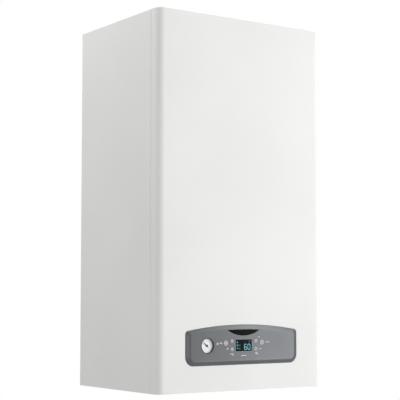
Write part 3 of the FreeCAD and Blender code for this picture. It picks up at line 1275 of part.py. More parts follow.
def flow_group():
    pieces = water_group(-1)
    pieces.append(rod(at(-RISER_X, STUB_D, GROUP_Z), at(-RISER_X, STUB_D, RISER_TOP), RISER_RADIUS))
    pieces.append(rod(at(-DIVERTER_X, STUB_D, GROUP_Z), at(-DIVERTER_X, STUB_D, DIVERTER_BOSS_TOP),
                      DIVERTER_BOSS_RADIUS))
    return fused(pieces)


def return_group():
    pieces = water_group(1)
    pieces.append(rod(at(PUMP_X, STUB_D, GROUP_Z), at(PUMP_X, STUB_D, PUMP_Z - PUMP_SUCTION_DROP),
                      PUMP_SUCTION_RADIUS))
    pieces.append(rod(at(STUB_PITCH, STUB_D, GROUP_Z), at(STUB_PITCH, STUB_D, SAFETY_BOSS_TOP),
                      SAFETY_BOSS_RADIUS))
    return fused(pieces)


def plate_heat_exchanger():
    """Pack of plates: every second plate stands out as a rim."""
    pitch = PLATES_DEPTH / (2 * PLATES_COUNT - 1)
    pieces = []
    for index in range(2 * PLATES_COUNT - 1):
        step = PLATES_STEP * (index % 2)
        rear = plates_front - PLATES_DEPTH + index * pitch
        half_height = PLATES_HEIGHT / 2 - step
        plate = centred(0, PLATES_WIDTH - 2 * step, rear, rear + pitch, GROUP_Z - half_height,
                        GROUP_Z + half_height)
        pieces.append(rounded_block(plate, PLATES_CORNER - step, TO_FRONT))
    return fused(pieces)


def diverter_motor():
    """Drive of the diverter valve: a round neck under a moulded head."""
    head_z = DIVERTER_BOSS_TOP + DIVERTER_NECK
    boss_top = at(-DIVERTER_X, STUB_D, DIVERTER_BOSS_TOP)
    neck = rod(boss_top, at(-DIVERTER_X, STUB_D, head_z), DIVERTER_NECK_RADIUS)
    head = centred(-DIVERTER_X, DIVERTER_WIDTH, STUB_D - DIVERTER_DEPTH / 2, STUB_D + DIVERTER_DEPTH / 2,
                   head_z, head_z + DIVERTER_HEIGHT)
    return fused([neck, rounded_block(head, DIVERTER_EDGE, UP)])


def pump_volute():
    """Pump casing with its suction below, its discharge above and a boss for the air vent."""
    rear = at(PUMP_X, PUMP_REAR, PUMP_Z)
    front = at(PUMP_X, pump_front, PUMP_Z)
    suction = rod(at(PUMP_X, pump_middle, PUMP_Z - PUMP_SUCTION_DROP), at(PUMP_X, pump_middle, PUMP_Z),
                  PUMP_SUCTION_RADIUS)
    discharge = rod(at(discharge_x, pump_middle, PUMP_Z), at(discharge_x, pump_middle, discharge_z),
                    PUMP_DISCHARGE_RADIUS)
    boss = rod(at(vent_x, pump_middle, PUMP_Z), at(vent_x, pump_middle, vent_z), VENT_BOSS_RADIUS)
    return fused([rod(rear, front, PUMP_RADIUS), suction, discharge, boss])


def pump_motor():
    """Finned can in front of the pump casing."""
    end = pump_front + PUMP_MOTOR_LENGTH
    core = PUMP_MOTOR_RADIUS - PUMP_FIN
    profile = [(0, pump_front), (core, pump_front), (core, end - PUMP_MOTOR_STEP),
               (core - PUMP_MOTOR_STEP, end), (0, end)]
    can = turned(profile, at(PUMP_X, 0, PUMP_Z), TO_FRONT)
    fin = centred(PUMP_X, PUMP_FIN_SHEET, pump_front, end - PUMP_MOTOR_STEP, PUMP_Z + core - PUMP_FIN,
                  PUMP_Z + PUMP_MOTOR_RADIUS)
    return fused([can] + around(fin, at(PUMP_X, 0, PUMP_Z), TO_FRONT, PUMP_FINS))


def air_vent():
    profile = [(0, 0), (VENT_RADIUS, 0), (VENT_RADIUS, VENT_HEIGHT - VENT_CAP / 2),
               (VENT_CAP_RADIUS, VENT_HEIGHT), (VENT_CAP_RADIUS, VENT_HEIGHT + VENT_CAP),
               (0, VENT_HEIGHT + VENT_CAP)]
    return turned(profile, at(vent_x, pump_middle, vent_z), UP)


def flow_pipe():
    route = [at(-port_x, PORT_D, drum_z), at(-RISER_X, PORT_D, drum_z), at(-RISER_X, STUB_D, RISER_TOP)]
    return pipe(route, WATER_PIPE_RADIUS, WATER_PIPE_BEND)


def return_pipe():
    route = [at(discharge_x, pump_middle, discharge_z), at(discharge_x, PORT_D, drum_z),
             at(port_x, PORT_D, drum_z)]
    return pipe(route, WATER_PIPE_RADIUS, WATER_PIPE_BEND)


def safety_valve():
    """Valve body with a spout to its left and a bore for the knob's stem."""
    base = at(STUB_PITCH, STUB_D, SAFETY_BOSS_TOP)
    body = rod(base, at(STUB_PITCH, STUB_D, safety_top), SAFETY_RADIUS)
    spout_z = SAFETY_BOSS_TOP + SAFETY_SPOUT_RISE
    spout = rod(at(STUB_PITCH, STUB_D, spout_z), at(STUB_PITCH - SAFETY_SPOUT_REACH, STUB_D, spout_z),
                SAFETY_SPOUT_RADIUS)
    bore = rod(at(STUB_PITCH, STUB_D, safety_top - SAFETY_STEM - KNOB_GAP),
               at(STUB_PITCH, STUB_D, safety_top + OVERRUN), KNOB_STEM_RADIUS + KNOB_CLEARANCE)
    return fused([body, spout]).cut(bore)


def lobed_knob(centre, radius, height):
    """Round grip with lobes, standing up from a point."""
    core = rod(centre, centre + UP * height, radius * KNOB_LOBE_SHARE)
    lobe_centre = centre + ALONG_X * (radius - KNOB_LOBE_RADIUS / 2)
    lobe = rod(lobe_centre, lobe_centre + UP * height, KNOB_LOBE_RADIUS / 2)
    return [core] + around(lobe, centre, UP, KNOB_LOBES)


def safety_valve_knob():
    base = at(STUB_PITCH, STUB_D, safety_top + KNOB_GAP)
    stem = rod(at(STUB_PITCH, STUB_D, safety_top - SAFETY_STEM), base, KNOB_STEM_RADIUS)
    return fused(lobed_knob(base, SAFETY_KNOB_RADIUS, SAFETY_KNOB_HEIGHT) + [stem])


def filling_tap():
    """Tap body on the bottom plate, linked to the flow group, with a bore for the knob's stem."""
    body = rod(at(TAP_X, STUB_D, plate_top), at(TAP_X, STUB_D, plate_top + TAP_HEIGHT), TAP_RADIUS)
    link = rod(at(TAP_X, STUB_D, TAP_LINK_Z), at(-GROUP_INNER, STUB_D, TAP_LINK_Z), TAP_LINK_RADIUS)
    bore = rod(at(TAP_X, STUB_D, plate_top - OVERRUN), at(TAP_X, STUB_D, plate_top + TAP_STEM + KNOB_GAP),
               KNOB_STEM_RADIUS + KNOB_CLEARANCE)
    return fused([body, link]).cut(bore)


def filling_tap_knob():
    top = PLATE_HEIGHT - TAP_KNOB_GAP
    base = at(TAP_X, STUB_D, top - TAP_KNOB_HEIGHT)
    stem = rod(at(TAP_X, STUB_D, top), at(TAP_X, STUB_D, plate_top + TAP_STEM), KNOB_STEM_RADIUS)
    return fused(lobed_knob(base, TAP_KNOB_RADIUS, TAP_KNOB_HEIGHT) + [stem])


def pieces():
    """Every node with its shape."""
    places = stub_places()
    yield "wall_bracket", wall_bracket()
    yield "rear_frame", rear_frame()
    yield "right_side_panel", side_panel()
    yield "left_side_panel", mirrored(side_panel())
    yield "top_plate", top_plate()
    yield "bottom_plate", bottom_plate()
    yield "casing_seal", casing_seal()
    yield "front_casing", front_casing()
    yield "casing_ends", casing_ends()
    yield "casing_screws", casing_screws()
    yield "control_box", control_box()
    yield "control_fascia", control_fascia()
    yield "display_window", display_window()
    yield "control_board", control_board()
    yield "badge_insert", badge_insert()
    for name, x, z, radius in button_places():
        yield name, button(x, z, radius)
    yield "gauge_case", gauge_case()
    yield "gauge_dial", gauge_dial()
    yield "gauge_needle", gauge_needle()
    yield "gauge_lens", gauge_lens()
    yield "flue_collar", flue_collar()
    yield "air_plug", air_plug()
    yield "flue_pipe", flue_pipe()
    yield "exchanger_crossmember", exchanger_crossmember()
    yield "heat_exchanger", heat_exchanger()
    yield "burner_door", burner_door()
    yield "ignition_electrode", ignition_electrode()
    yield "mixing_duct", mixing_duct()
    yield "fan_housing", fan_housing()
    yield "fan_impeller", fan_impeller()
    yield "fan_motor", fan_motor()
    yield "venturi", venturi()
    yield "gas_valve", gas_valve()
    yield "gas_pipe", gas_pipe()
    yield "gas_feed_pipe", gas_feed_pipe()
    yield "condensate_trap", condensate_trap()
    yield "condensate_hose", condensate_hose()
    yield "expansion_vessel", expansion_vessel()
    yield "vessel_hose", vessel_hose()
    yield "flow_group", flow_group()
    yield "return_group", return_group()
    yield "plate_heat_exchanger", plate_heat_exchanger()
    yield "diverter_motor", diverter_motor()
    yield "pump_volute", pump_volute()
    yield "pump_motor", pump_motor()
    yield "air_vent", air_vent()
    yield "flow_pipe", flow_pipe()
    yield "return_pipe", return_pipe()
    yield "safety_valve", safety_valve()
    yield "safety_valve_knob", safety_valve_knob()
    yield "filling_tap", filling_tap()
    yield "filling_tap_knob", filling_tap_knob()
    yield "heating_stubs", group([stub(*places[0]), stub(*places[4])])
    yield "water_stubs", group([stub(*places[1]), stub(*places[3])])
    yield "gas_stub", stub(*places[2])


def main():
    os.makedirs("parts", exist_ok=True)
    for name, shape in pieces():
        shape.translate(FreeCAD.Vector(0, 0, -hang_height))
        shape.exportStep(f"parts/{name}.step")
        print(name, "solids", len(shape.Solids), "valid", shape.isValid(), "volume", round(shape.Volume))


main()
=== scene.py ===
# %% [markdown]
# A wall-hung gas boiler, dressed round its CAD frame. The CAD part gives every solid its place. This lesson
# gives each one its finish and adds what is printed, lit or too fine for the CAD model: the dial's scale,
# the lit figures, the panel's signs, the small hardware and the control box's lid. Meshes are in metres, in
# the CAD part's own frame: the front faces -Y and the wall is the plane y = 0. Measures of the boiler's small
# pieces are written in mm, with heights from the casing's bottom edge, and are changed by MM.

# %% Load the frame and keep its box
import math

import bmesh
import bpy
import numpy as np
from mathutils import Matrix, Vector


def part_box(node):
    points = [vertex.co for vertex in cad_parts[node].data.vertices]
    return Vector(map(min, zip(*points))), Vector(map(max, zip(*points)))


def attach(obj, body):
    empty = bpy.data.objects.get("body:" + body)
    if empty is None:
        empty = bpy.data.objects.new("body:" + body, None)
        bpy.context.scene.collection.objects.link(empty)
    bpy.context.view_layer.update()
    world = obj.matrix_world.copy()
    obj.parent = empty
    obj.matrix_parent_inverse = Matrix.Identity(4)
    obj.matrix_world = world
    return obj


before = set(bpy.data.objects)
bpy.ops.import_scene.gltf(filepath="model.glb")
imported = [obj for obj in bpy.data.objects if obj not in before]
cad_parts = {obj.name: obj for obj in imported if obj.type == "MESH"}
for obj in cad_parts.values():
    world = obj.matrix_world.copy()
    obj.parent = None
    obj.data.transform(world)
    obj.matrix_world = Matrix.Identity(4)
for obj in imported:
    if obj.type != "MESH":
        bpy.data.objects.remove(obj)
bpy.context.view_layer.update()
MM = 0.001
CASING_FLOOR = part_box("front_casing")[0].z

# %% [markdown]
# The camera stands to the left of the boiler and a little above its bottom edge, so the picture shows the
# left side, the front and no top. Its place was worked out from the casing's corners in the picture. It
# looks up by a few degrees, and a small shift does the rest of the framing, so the upright edges stay
# almost parallel.

# %% Camera
CAMERA_PLACE = (-1.4134, -2.2141, -0.5037)
CAMERA_YAW = math.radians(34.443)
CAMERA_PITCH = math.radians(4.240)
CAMERA_LENS, CAMERA_SENSOR = 106.94, 36.0
CAMERA_SHIFT = 0.02
camera_data = bpy.data.cameras.new("picture_camera")
camera_data.lens = CAMERA_LENS
camera_data.sensor_width = CAMERA_SENSOR
camera_data.shift_y = CAMERA_SHIFT
camera = bpy.data.objects.new("picture_camera", camera_data)
camera.location = CAMERA_PLACE
camera.rotation_euler = (math.pi / 2 + CAMERA_PITCH, 0.0, -CAMERA_YAW)
bpy.context.scene.collection.objects.link(camera)
bpy.context.scene.camera = camera
bpy.context.scene.view_settings.view_transform = "Standard"
print("camera at", CAMERA_PLACE)

# %% [markdown]
# The light is a plain studio: a white world that is a little darker below, a weak square lamp in front on
# the left, a tall lamp to the right of the camera, a small near lamp high on the left and behind the
# boiler's back, and a wide weak one overhead. The near lamp grazes the left side, which is brightest at its
# top, and it stands steep enough over the white top that its gloss doesn't wash the top out in other views.
# The rounded casing corner faces the gap between these lamps and shows it as a soft dark band.

# %% Lamps
def area_lamp(name, place, target, size, power):
    """Rectangular area lamp at place, turned so that its -Z axis looks at target."""
    data = bpy.data.lights.new(name, "AREA")
    data.shape = "RECTANGLE"
    data.size, data.size_y = size
    data.energy = power
    lamp = bpy.data.objects.new(name, data)
    lamp.location = place
    direction = Vector(target) - lamp.location
    lamp.rotation_euler = direction.to_track_quat("-Z", "Y").to_euler()
    bpy.context.scene.collection.objects.link(lamp)


FRONT_MIDDLE, SIDE_MIDDLE, BOILER_MIDDLE = (0.0, -0.3, -0.3), (-0.2, -0.15, -0.3), (0.0, -0.15, -0.32)
# Each row has a lamp's place, what it looks at, its width and height in metres, and its power in watts.
LAMPS = {
    "front_lamp": ((-1.1, -2.5, -0.2), FRONT_MIDDLE, (1.0, 1.0), 8.5),
    "right_lamp": ((1.55, -1.75, -0.28), FRONT_MIDDLE, (0.7, 3.1), 28.0),
    "side_lamp": ((-0.9, 0.45, 1.05), SIDE_MIDDLE, (0.5, 0.5), 9.3),
    "top_lamp": ((0.0, -0.4, 1.7), BOILER_MIDDLE, (2.6, 2.6), 5.0),
}
for name, row in LAMPS.items():
    area_lamp(name, *row)
print("lamps:", len(LAMPS))

# %% World
def seen_ray(tree):
    """Socket that is 1 on rays from the camera, in reflections or through glass: the largest of three."""
    path = tree.nodes.new("ShaderNodeLightPath")
    largest = path.outputs["Is Camera Ray"]
    for ray in ("Is Glossy Ray", "Is Transmission Ray"):
        either = tree.nodes.new("ShaderNodeMath")
        either.operation = "MAXIMUM"
        tree.links.new(largest, either.inputs[0])
        tree.links.new(path.outputs[ray], either.inputs[1])
        largest = either.outputs[0]
    return largest


WORLD_LOW, WORLD_HIGH = 0.45, 0.80
world = bpy.data.worlds.new("studio")
bpy.context.scene.world = world
world.use_nodes = True
sky = world.node_tree
sky.nodes.clear()
sky_out = sky.nodes.new("ShaderNodeOutputWorld")
sky_mix = sky.nodes.new("ShaderNodeMixShader")
sky_seen = sky.nodes.new("ShaderNodeBackground")
sky_light = sky.nodes.new("ShaderNodeBackground")
sky_seen.inputs["Color"].default_value = (1.0, 1.0, 1.0, 1.0)
sky_coord = sky.nodes.new("ShaderNodeTexCoord")
sky_parts = sky.nodes.new("ShaderNodeSeparateXYZ")
sky_range = sky.nodes.new("ShaderNodeMapRange")
sky_range.inputs["From Min"].default_value = -1.0
sky_range.inputs["To Min"].default_value = WORLD_LOW
sky_range.inputs["To Max"].default_value = WORLD_HIGH
sky.links.new(sky_coord.outputs["Generated"], sky_parts.inputs[0])
sky.links.new(sky_parts.outputs["Z"], sky_range.inputs["Value"])
sky.links.new(sky_range.outputs["Result"], sky_light.inputs["Strength"])
sky.links.new(seen_ray(sky), sky_mix.inputs["Fac"])
sky.links.new(sky_light.outputs[0], sky_mix.inputs[1])
sky.links.new(sky_seen.outputs[0], sky_mix.inputs[2])
sky.links.new(sky_mix.outputs[0], sky_out.inputs["Surface"])
print("world from", WORLD_LOW, "below to", WORLD_HIGH, "above")

# %% [markdown]
# The boiler hangs high on a wall, so the floor is a plain pale plane far below it. It gives soft light back
# to the underside. The camera sees it as white, as it sees the world, so no edge shows between the two.

# %% Floor
FLOOR_Z, FLOOR_HALF, FLOOR_SHADE, FLOOR_ROUGHNESS = -3.0, 14.0, 0.62, 0.9
corners = np.array([[-1, -1], [1, -1], [1, 1], [-1, 1]]) * FLOOR_HALF
floor_mesh = bpy.data.meshes.new("floor")
floor_mesh.from_pydata(np.column_stack([corners, np.full(4, FLOOR_Z)]).tolist(), [], [[0, 1, 2, 3]])
floor_finish = bpy.data.materials.new("floor_pale")
floor_finish.use_nodes = True
paving = floor_finish.node_tree
paving_out = paving.nodes["Material Output"]
paving_matt = paving.nodes["Principled BSDF"]
paving_matt.inputs["Base Color"].default_value = (FLOOR_SHADE, FLOOR_SHADE, FLOOR_SHADE, 1.0)
paving_matt.inputs["Roughness"].default_value = FLOOR_ROUGHNESS
paving_white = paving.nodes.new("ShaderNodeEmission")
paving_mix = paving.nodes.new("ShaderNodeMixShader")
paving.links.new(seen_ray(paving), paving_mix.inputs["Fac"])
paving.links.new(paving_matt.outputs[0], paving_mix.inputs[1])
paving.links.new(paving_white.outputs[0], paving_mix.inputs[2])
paving.links.new(paving_mix.outputs[0], paving_out.inputs["Surface"])
floor_mesh.materials.append(floor_finish)
floor = bpy.data.objects.new("floor", floor_mesh)
bpy.context.scene.collection.objects.link(floor)
print("floor at", FLOOR_Z)

# %% [markdown]
# Finishes share three effects, each a shader node group. Moulded grain is a fine noise for the bump and a
# broad one for patches of colour. Zinc spangle is a cell pattern, as on dipped sheet. Drawn streaks are a
# noise that is stretched along one axis, as on drawn tube and brushed sheet. Each material could have its
# own copy of the nodes, but a group is built once and takes its scales from the material.

# %% Shared effects
def effect_group(name):
    """Empty shader group: Vector, Fineness and Patches go in, Height and Patch come out."""
    group = bpy.data.node_groups.new(name, "ShaderNodeTree")
    group.interface.new_socket("Vector", in_out="INPUT", socket_type="NodeSocketVector")
    for label in ("Fineness", "Patches"):
        group.interface.new_socket(label, in_out="INPUT", socket_type="NodeSocketFloat")
    for label in ("Height", "Patch"):
        group.interface.new_socket(label, in_out="OUTPUT", socket_type="NodeSocketFloat")
    return group, group.nodes.new("NodeGroupInput"), group.nodes.new("NodeGroupOutput")


def noise(tree, vector, scale, detail):
    """Noise texture on a vector socket, with its scale linked from a socket."""
    texture = tree.nodes.new("ShaderNodeTexNoise")
    texture.inputs["Detail"].default_value = detail
    tree.links.new(vector, texture.inputs["Vector"])
    tree.links.new(scale, texture.inputs["Scale"])
    return texture.outputs["Fac"]


def stretched(tree, value, low, high):
    """Map Range that takes low to 0 and high to 1, and clamps."""
    node = tree.nodes.new("ShaderNodeMapRange")
    node.inputs["From Min"].default_value = low
    node.inputs["From Max"].default_value = high
    tree.links.new(value, node.inputs["Value"])
    return node.outputs["Result"]


grain, grain_in, grain_out = effect_group("moulded_grain")
grain_height = noise(grain, grain_in.outputs["Vector"], grain_in.outputs["Fineness"], detail=2.0)
grain_patch = noise(grain, grain_in.outputs["Vector"], grain_in.outputs["Patches"], detail=4.0)
grain.links.new(grain_height, grain_out.inputs["Height"])
grain.links.new(stretched(grain, grain_patch, low=0.32, high=0.68), grain_out.inputs["Patch"])

spangle, spangle_in, spangle_out = effect_group("zinc_spangle")
spangle_cells = spangle.nodes.new("ShaderNodeTexVoronoi")
spangle.links.new(spangle_in.outputs["Vector"], spangle_cells.inputs["Vector"])
spangle.links.new(spangle_in.outputs["Fineness"], spangle_cells.inputs["Scale"])
spangle_split = spangle.nodes.new("ShaderNodeSeparateColor")
spangle.links.new(spangle_cells.outputs["Color"], spangle_split.inputs[0])
spangle.links.new(spangle_split.outputs[0], spangle_out.inputs["Patch"])
spangle.links.new(spangle_cells.outputs["Distance"], spangle_out.inputs["Height"])

STREAK_PULL = (1.0, 1.0, 0.03)
streaks, streaks_in, streaks_out = effect_group("drawn_streaks")
streaks_pull = streaks.nodes.new("ShaderNodeVectorMath")
streaks_pull.operation = "MULTIPLY"
streaks_pull.inputs[1].default_value = STREAK_PULL
streaks.links.new(streaks_in.outputs["Vector"], streaks_pull.inputs[0])
streaks_fine = noise(streaks, streaks_pull.outputs[0], streaks_in.outputs["Fineness"], detail=1.0)
streaks_wide = noise(streaks, streaks_in.outputs["Vector"], streaks_in.outputs["Patches"], detail=3.0)
streaks.links.new(streaks_fine, streaks_out.inputs["Height"])
streaks.links.new(stretched(streaks, streaks_wide, low=0.3, high=0.7), streaks_out.inputs["Patch"])
print("effects:", grain.name, spangle.name, streaks.name)

# %% [markdown]
# One function makes a finish from its effect: the patches mix two close colours and move the roughness a
# little, and the fine height bends the normal. Colours are written as they look on a screen, from 0 to 255,
# and are changed to light values by a formula.

# %% Finish maker
# A colour Mix node repeats its socket names, so its sockets are called by number.
MIX_SHARE, MIX_FIRST, MIX_SECOND, MIX_RESULT = 0, 6, 7, 2


def light_of(colour):
    """Screen colour as linear light: the sRGB curve, a straight start and then a power of 2.4."""
    share = np.array(colour, float) / 255.0
    low = share / 12.92
    high = ((share + 0.055) / 1.055) ** 2.4
    return tuple(np.where(share <= 0.04045, low, high)) + (1.0,)


def finish(name, colour, tint, roughness, spread, effect=grain, metallic=0.0, fineness=900.0, patches=6.0,
           depth=0.02, gloss=0.5):
    """Principled finish whose colour, roughness and normal follow one shared effect; depth is in mm."""
    material = bpy.data.materials.new(name)
    material.use_nodes = True
    tree = material.node_tree
    shader = tree.nodes["Principled BSDF"]
    coordinate = tree.nodes.new("ShaderNodeTexCoord")
    group = tree.nodes.new("ShaderNodeGroup")
    group.node_tree = effect
    group.inputs["Fineness"].default_value = fineness
    group.inputs["Patches"].default_value = patches
    tree.links.new(coordinate.outputs["Object"], group.inputs["Vector"])
    mix = tree.nodes.new("ShaderNodeMix")
    mix.data_type = "RGBA"
    mix.inputs[MIX_FIRST].default_value = light_of(colour)
    mix.inputs[MIX_SECOND].default_value = light_of(tint)
    tree.links.new(group.outputs["Patch"], mix.inputs[MIX_SHARE])
    tree.links.new(mix.outputs[MIX_RESULT], shader.inputs["Base Color"])
    rough = tree.nodes.new("ShaderNodeMapRange")
    rough.inputs["To Min"].default_value = roughness - spread
    rough.inputs["To Max"].default_value = roughness + spread
    tree.links.new(group.outputs["Patch"], rough.inputs["Value"])
    tree.links.new(rough.outputs["Result"], shader.inputs["Roughness"])
    bump = tree.nodes.new("ShaderNodeBump")
    bump.inputs["Distance"].default_value = depth * MM
    tree.links.new(group.outputs["Height"], bump.inputs["Height"])
    tree.links.new(bump.outputs["Normal"], shader.inputs["Normal"])
    shader.inputs["Metallic"].default_value = metallic
    shader.inputs["Specular IOR Level"].default_value = gloss
    return material


def shader_of(material):
    """The Principled node of a finish."""
    return material.node_tree.nodes["Principled BSDF"]


print("light of a screen grey of 128:", round(float(light_of((128, 128, 128))[0]), 3))

# %% [markdown]
# The outside is white powder coat on sheet steel, a grey metallic moulding with black and clear pieces in
# it, and zinc sheet behind. The colours that show were set by comparing renders with the picture. The
# powder coat has the faint orange peel of a sprayed coat, so its grain is coarse and shallow, and the
# mouldings have a finer one.

# %% Finishes of the outside
white_coat = finish("white_coat", (237, 237, 235), (234, 234, 232), roughness=0.50, spread=0.04,
                    fineness=700.0, patches=5.0, depth=0.012)
panel_grey = finish("panel_grey", (88, 90, 92), (85, 87, 89), roughness=0.30, spread=0.03,
                    metallic=0.65, fineness=2600.0, patches=9.0, depth=0.006)
zinc_sheet = finish("zinc_sheet", (188, 191, 194), (172, 176, 180), roughness=0.42, spread=0.06,
                    effect=spangle, metallic=0.9, fineness=210.0, depth=0.004)
bare_zinc = finish("bare_zinc", (200, 202, 205), (178, 181, 185), roughness=0.34, spread=0.06,
                   metallic=1.0, fineness=1500.0, patches=60.0)
box_black = finish("box_black", (46, 47, 49), (40, 41, 43), roughness=0.48, spread=0.05,
                   fineness=2200.0, patches=12.0, depth=0.015)
inlay_black = finish("inlay_black", (4, 4, 5), (7, 7, 8), roughness=0.24, spread=0.03,
                     fineness=400.0, patches=14.0, depth=0.002, gloss=0.05)
display_black = finish("display_black", (5, 14, 19), (8, 18, 23), roughness=0.10, spread=0.02,
                       fineness=300.0, patches=30.0, depth=0.001, gloss=0.08)
button_grey = finish("button_grey", (139, 141, 143), (134, 136, 138), roughness=0.40, spread=0.03,
                     fineness=2600.0, patches=40.0, depth=0.008)
button_ring = finish("button_ring", (207, 209, 210), (201, 203, 204), roughness=0.42, spread=0.04,
                     fineness=2600.0, patches=60.0, depth=0.006)
print_white = finish("print_white", (228, 229, 230), (220, 221, 222), roughness=0.45, spread=0.05,
                     fineness=3000.0, patches=120.0, depth=0.006)
dial_white = finish("dial_white", (254, 254, 254), (251, 251, 251), roughness=0.50, spread=0.05,
                    fineness=1800.0, patches=80.0, depth=0.006)
dial_print = finish("dial_print", (146, 148, 152), (138, 140, 144), roughness=0.50, spread=0.05,
                    fineness=2000.0, patches=120.0, depth=0.004)
needle_black = finish("needle_black", (24, 24, 26), (30, 30, 32), roughness=0.42, spread=0.04,
                      fineness=1500.0, patches=90.0, depth=0.004)
foam_grey = finish("foam_grey", (62, 63, 65), (52, 53, 55), roughness=0.92, spread=0.04,
                   fineness=1200.0, patches=50.0, depth=0.25)
collar_grey = finish("collar_grey", (88, 90, 93), (80, 82, 85), roughness=0.50, spread=0.05,
                     fineness=1700.0, patches=16.0, depth=0.02)
lens_clear = finish("lens_clear", (250, 251, 251), (246, 248, 248), roughness=0.06, spread=0.02,
                    fineness=200.0, patches=40.0, depth=0.0005, gloss=0.3)
LENS_ALPHA = 0.02
shader_of(lens_clear).inputs["Alpha"].default_value = LENS_ALPHA
print("outside finishes made, the lens with an alpha of", LENS_ALPHA)

# %% [markdown]
# The inside doesn't show in the picture, so each piece has the colour of its usual material: drawn copper
# pipe, brass fittings, cast aluminium with a rough skin, brushed stainless steel, a red vessel and black
# mouldings.

# %% Finishes of the inside
stainless = finish("stainless", (196, 198, 200), (180, 182, 184), roughness=0.30, spread=0.06,
                   effect=streaks, metallic=1.0, fineness=700.0, patches=14.0, depth=0.01)
cast_aluminium = finish("cast_aluminium", (172, 174, 177), (150, 152, 156), roughness=0.52, spread=0.08,
                        metallic=1.0, fineness=1100.0, patches=22.0, depth=0.06)
motor_dark = finish("motor_dark", (58, 60, 64), (48, 50, 54), roughness=0.46, spread=0.06,
                    fineness=1600.0, patches=20.0, depth=0.03)
duct_black = finish("duct_black", (38, 39, 41), (33, 34, 36), roughness=0.44, spread=0.05,
                    fineness=1900.0, patches=16.0, depth=0.02)
flue_white = finish("flue_white", (214, 214, 209), (206, 206, 200), roughness=0.36, spread=0.05,
                    fineness=900.0, patches=14.0, depth=0.01)
ceramic = finish("ceramic", (232, 228, 218), (224, 219, 207), roughness=0.26, spread=0.05,
                 fineness=1400.0, patches=40.0, depth=0.008)
copper = finish("copper", (196, 122, 88), (168, 97, 70), roughness=0.27, spread=0.08,
                effect=streaks, metallic=1.0, fineness=900.0, patches=18.0, depth=0.006)
brass = finish("brass", (196, 164, 98), (172, 140, 78), roughness=0.34, spread=0.08,
               metallic=1.0, fineness=900.0, patches=24.0, depth=0.03)
drain_grey = finish("drain_grey", (150, 152, 154), (138, 140, 142), roughness=0.40, spread=0.05,
                    fineness=1300.0, patches=18.0, depth=0.015)
hose_black = finish("hose_black", (32, 32, 33), (26, 26, 27), roughness=0.62, spread=0.05,
                    fineness=1500.0, patches=26.0, depth=0.03)
vessel_red = finish("vessel_red", (150, 33, 29), (139, 29, 26), roughness=0.36, spread=0.05,
                    fineness=800.0, patches=8.0, depth=0.015)
knob_red = finish("knob_red", (186, 36, 30), (174, 31, 26), roughness=0.40, spread=0.04,
                  fineness=1500.0, patches=50.0, depth=0.012)
knob_blue = finish("knob_blue", (34, 78, 150), (29, 70, 138), roughness=0.40, spread=0.04,
                   fineness=1500.0, patches=50.0, depth=0.012)
board_green = finish("board_green", (22, 82, 52), (17, 70, 44), roughness=0.38, spread=0.05,
                     fineness=1200.0, patches=90.0, depth=0.01)
print("inside finishes made, from", stainless.name, "to", board_green.name)

# %% [markdown]
# Each CAD node keeps its own mesh and takes one of these finishes in its material slot.

# %% Finishes on the CAD nodes
NODE_FINISHES = {
    white_coat: ["front_casing", "casing_ends", "left_side_panel", "right_side_panel", "top_plate"],
    zinc_sheet: ["wall_bracket", "rear_frame", "bottom_plate", "exchanger_crossmember"],
    bare_zinc: ["casing_screws"],
    foam_grey: ["casing_seal"],
    box_black: ["control_box", "gauge_case"],
    panel_grey: ["control_fascia"],
    display_black: ["display_window"],
    board_green: ["control_board"],
    inlay_black: ["badge_insert"],
    button_grey: ["button_left_large", "button_left_upper", "button_left_lower", "button_right_large",
                  "button_right_upper", "button_right_lower"],
    dial_white: ["gauge_dial"],
    needle_black: ["gauge_needle"],
    lens_clear: ["gauge_lens"],
    collar_grey: ["flue_collar", "air_plug"],
    flue_white: ["flue_pipe"],
    stainless: ["heat_exchanger", "plate_heat_exchanger"],
    cast_aluminium: ["burner_door", "fan_housing", "gas_valve", "fan_impeller"],
    ceramic: ["ignition_electrode"],
    duct_black: ["mixing_duct", "venturi", "diverter_motor", "air_vent"],
    motor_dark: ["fan_motor", "pump_motor", "pump_volute"],
    copper: ["gas_pipe", "gas_feed_pipe", "flow_pipe", "return_pipe"],
    drain_grey: ["condensate_trap"],
    hose_black: ["condensate_hose", "vessel_hose"],
    vessel_red: ["expansion_vessel"],
    brass: ["flow_group", "return_group", "safety_valve", "filling_tap", "heating_stubs", "water_stubs",
            "gas_stub"],
    knob_red: ["safety_valve_knob"],
    knob_blue: ["filling_tap_knob"],
}
for material, names in NODE_FINISHES.items():
    for name in names:
        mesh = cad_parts[name].data
        mesh.materials.clear()
        mesh.materials.append(material)
print("CAD nodes with a finish:", sum(len(names) for names in NODE_FINISHES.values()))

# %% [markdown]
# New pieces are grids of points. A set of rings, each a closed loop of the same number of points, becomes a
# skin by joining each ring to the next. The same function makes a turned nut, a flat frame and a flat
# print.

# %% Skins from rings
WELD_GAP = 1e-7


def ring_faces(rows, columns, close_rows):
    """Quads between neighbouring rings: each ring closes on itself, and the last may join the first."""
    row = np.arange(rows if close_rows else rows - 1)[:, None]
    column = np.arange(columns)[None, :]
    after = (column + 1) % columns
    below = (row + 1) % rows
    quads = [row * columns + column, row * columns + after, below * columns + after, below * columns + column]
    return np.stack(np.broadcast_arrays(*quads), -1).reshape(-1, 4).tolist()


def rings_shape(rings, close_rows):
    """Points and faces of a stack of rings, an array of rows, columns and 3; open ends get a cap."""
    rows, columns = rings.shape[:2]
    faces = ring_faces(rows, columns, close_rows)
    if not close_rows:
        faces.append(list(range(columns))[::-1])
        faces.append(list(range((rows - 1) * columns, rows * columns)))
    return rings.reshape(-1, 3), faces


def joined(shapes):
    """Several shapes of points and faces as one."""
    starts = np.cumsum([0] + [len(points) for points, faces in shapes])
    all_faces = [[index + int(start) for index in face]
                 for start, (points, faces) in zip(starts, shapes) for face in faces]
    return np.concatenate([points for points, faces in shapes]), all_faces


